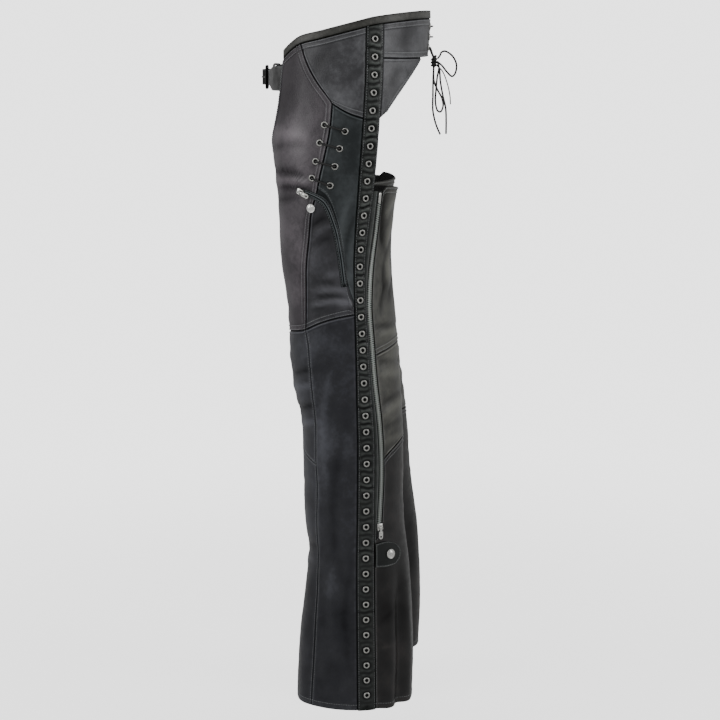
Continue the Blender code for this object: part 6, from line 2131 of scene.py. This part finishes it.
class ChapsSizes(bpy.types.PropertyGroup):
    stitch_pitch: size_property("Stitch Pitch", "From stitch to stitch, in millimetres", 3.8, 1.0, 10.0)
    thread_radius: size_property("Thread Radius", "Half the thread's width, in millimetres", 0.42, 0.1, 1.0)
    crease_depth: size_property("Crease Depth", "Factor on the depth of every crease", 1.3, 0.0, 3.0)
    tooth_pitch: size_property("Zip Tooth Pitch", "From tooth to tooth, in millimetres", 3.2, 1.5, 6.0)
    eyelet_radius: size_property("Eyelet Radius", "An eyelet's outer radius, in millimetres", 5.0, 2.0, 10.0)


def colour_property(name, description, hex_colour):
    return FloatVectorProperty(name=name, description=description, subtype="COLOR", size=3, min=0.0, max=1.0,
                               default=linear(hex_colour))


class ChapsColours(bpy.types.PropertyGroup):
    # Each rubbed colour is the light end of its leather: rubbed leather, and the painted highlight on seam
    # ridges, puffs and lips
    band: colour_property("Waistband", "Waistband leather", "#33332f")
    band_rubbed: colour_property("Waistband Rubbed", "Waistband leather where it is rubbed", "#6e6c66")
    thigh: colour_property("Thigh", "Front thigh leather", "#322d32")
    thigh_rubbed: colour_property("Thigh Rubbed", "Front thigh leather where it is rubbed", "#71696f")
    yoke: colour_property("Yoke", "Hip and back yoke leather", "#3a3a3d")
    yoke_rubbed: colour_property("Yoke Rubbed", "Yoke leather where it is rubbed", "#7e7f83")
    side: colour_property("Side", "Side thigh leather", "#1b2123")
    side_rubbed: colour_property("Side Rubbed", "Side thigh leather where it is rubbed", "#4c5356")
    pocket: colour_property("Pocket", "Pocket panel leather", "#2a2a2e")
    pocket_rubbed: colour_property("Pocket Rubbed", "Pocket panel leather where it is rubbed", "#55555c")
    strip: colour_property("Strip", "Eyelet strip leather", "#0e1311")
    strip_rubbed: colour_property("Strip Rubbed", "Strip leather where it is rubbed", "#474e49")
    shin: colour_property("Shin", "Knee and shin leather", "#212228")
    shin_rubbed: colour_property("Shin Rubbed", "Shin leather where it is rubbed", "#50525c")
    back: colour_property("Back", "Back thigh leather", "#2f2f2b")
    back_rubbed: colour_property("Back Rubbed", "Back thigh leather where it is rubbed", "#68685f")
    calf: colour_property("Calf", "Calf leather", "#0c0b0b")
    calf_rubbed: colour_property("Calf Rubbed", "Calf leather where it is rubbed", "#362d2a")
    belt: colour_property("Belt", "Belt leather", "#1a1a1a")
    belt_rubbed: colour_property("Belt Rubbed", "Belt leather where it is rubbed", "#5a5a5a")
    lace: colour_property("Lace", "Leather laces", "#0b0b0b")
    # Mid-grey: black thread's sheen painted into its colour
    thread: colour_property("Thread", "Topstitching thread", "#5f6266")
    nickel: colour_property("Nickel", "Tabs' press studs and sliders", "#d2d2ce")
    stud: colour_property("Stud", "Press studs of the pockets", "#fafaf7")
    eyelet: colour_property("Eyelet", "Eyelets of the strips and the laces", "#b0b0ac")
    teeth: colour_property("Zip Teeth", "Teeth of the side zips", "#b4bab5")
    black_metal: colour_property("Black Metal", "Buckle", "#141415")


class CHAPS_PT_panel(bpy.types.Panel):
    """Lists the steps that build the chaps"""
    bl_label = "Chaps"
    bl_idname = "CHAPS_PT_panel"
    bl_space_type = "VIEW_3D"
    bl_region_type = "UI"
    bl_category = "Chaps"

    def draw(self, context):
        for step in STEPS:
            self.layout.operator("chaps." + step)
        for group in (context.scene.chaps_sizes, context.scene.chaps_colours):
            for name in group.bl_rna.properties.keys():
                if name not in ("rna_type", "name"):
                    self.layout.prop(group, name)


STEPS = ("panels", "strips", "side_zips", "pockets", "thigh_laces", "belt", "back_lace", "stitching", "stage")
CLASSES = (ChapsSizes, ChapsColours, CHAPS_OT_panels, CHAPS_OT_strips, CHAPS_OT_side_zips, CHAPS_OT_pockets,
           CHAPS_OT_thigh_laces, CHAPS_OT_belt, CHAPS_OT_back_lace, CHAPS_OT_stitching, CHAPS_OT_stage,
           CHAPS_PT_panel)


def register():
    for item in CLASSES:
        bpy.utils.register_class(item)
    bpy.types.Scene.chaps_sizes = PointerProperty(type=ChapsSizes)
    bpy.types.Scene.chaps_colours = PointerProperty(type=ChapsColours)


def unregister():
    del bpy.types.Scene.chaps_colours
    del bpy.types.Scene.chaps_sizes
    for item in reversed(CLASSES):
        bpy.utils.unregister_class(item)


def main():
    register()
    make_materials()
    for step in STEPS:
        getattr(bpy.ops.chaps, step)()


if __name__ == "__main__":
    main()
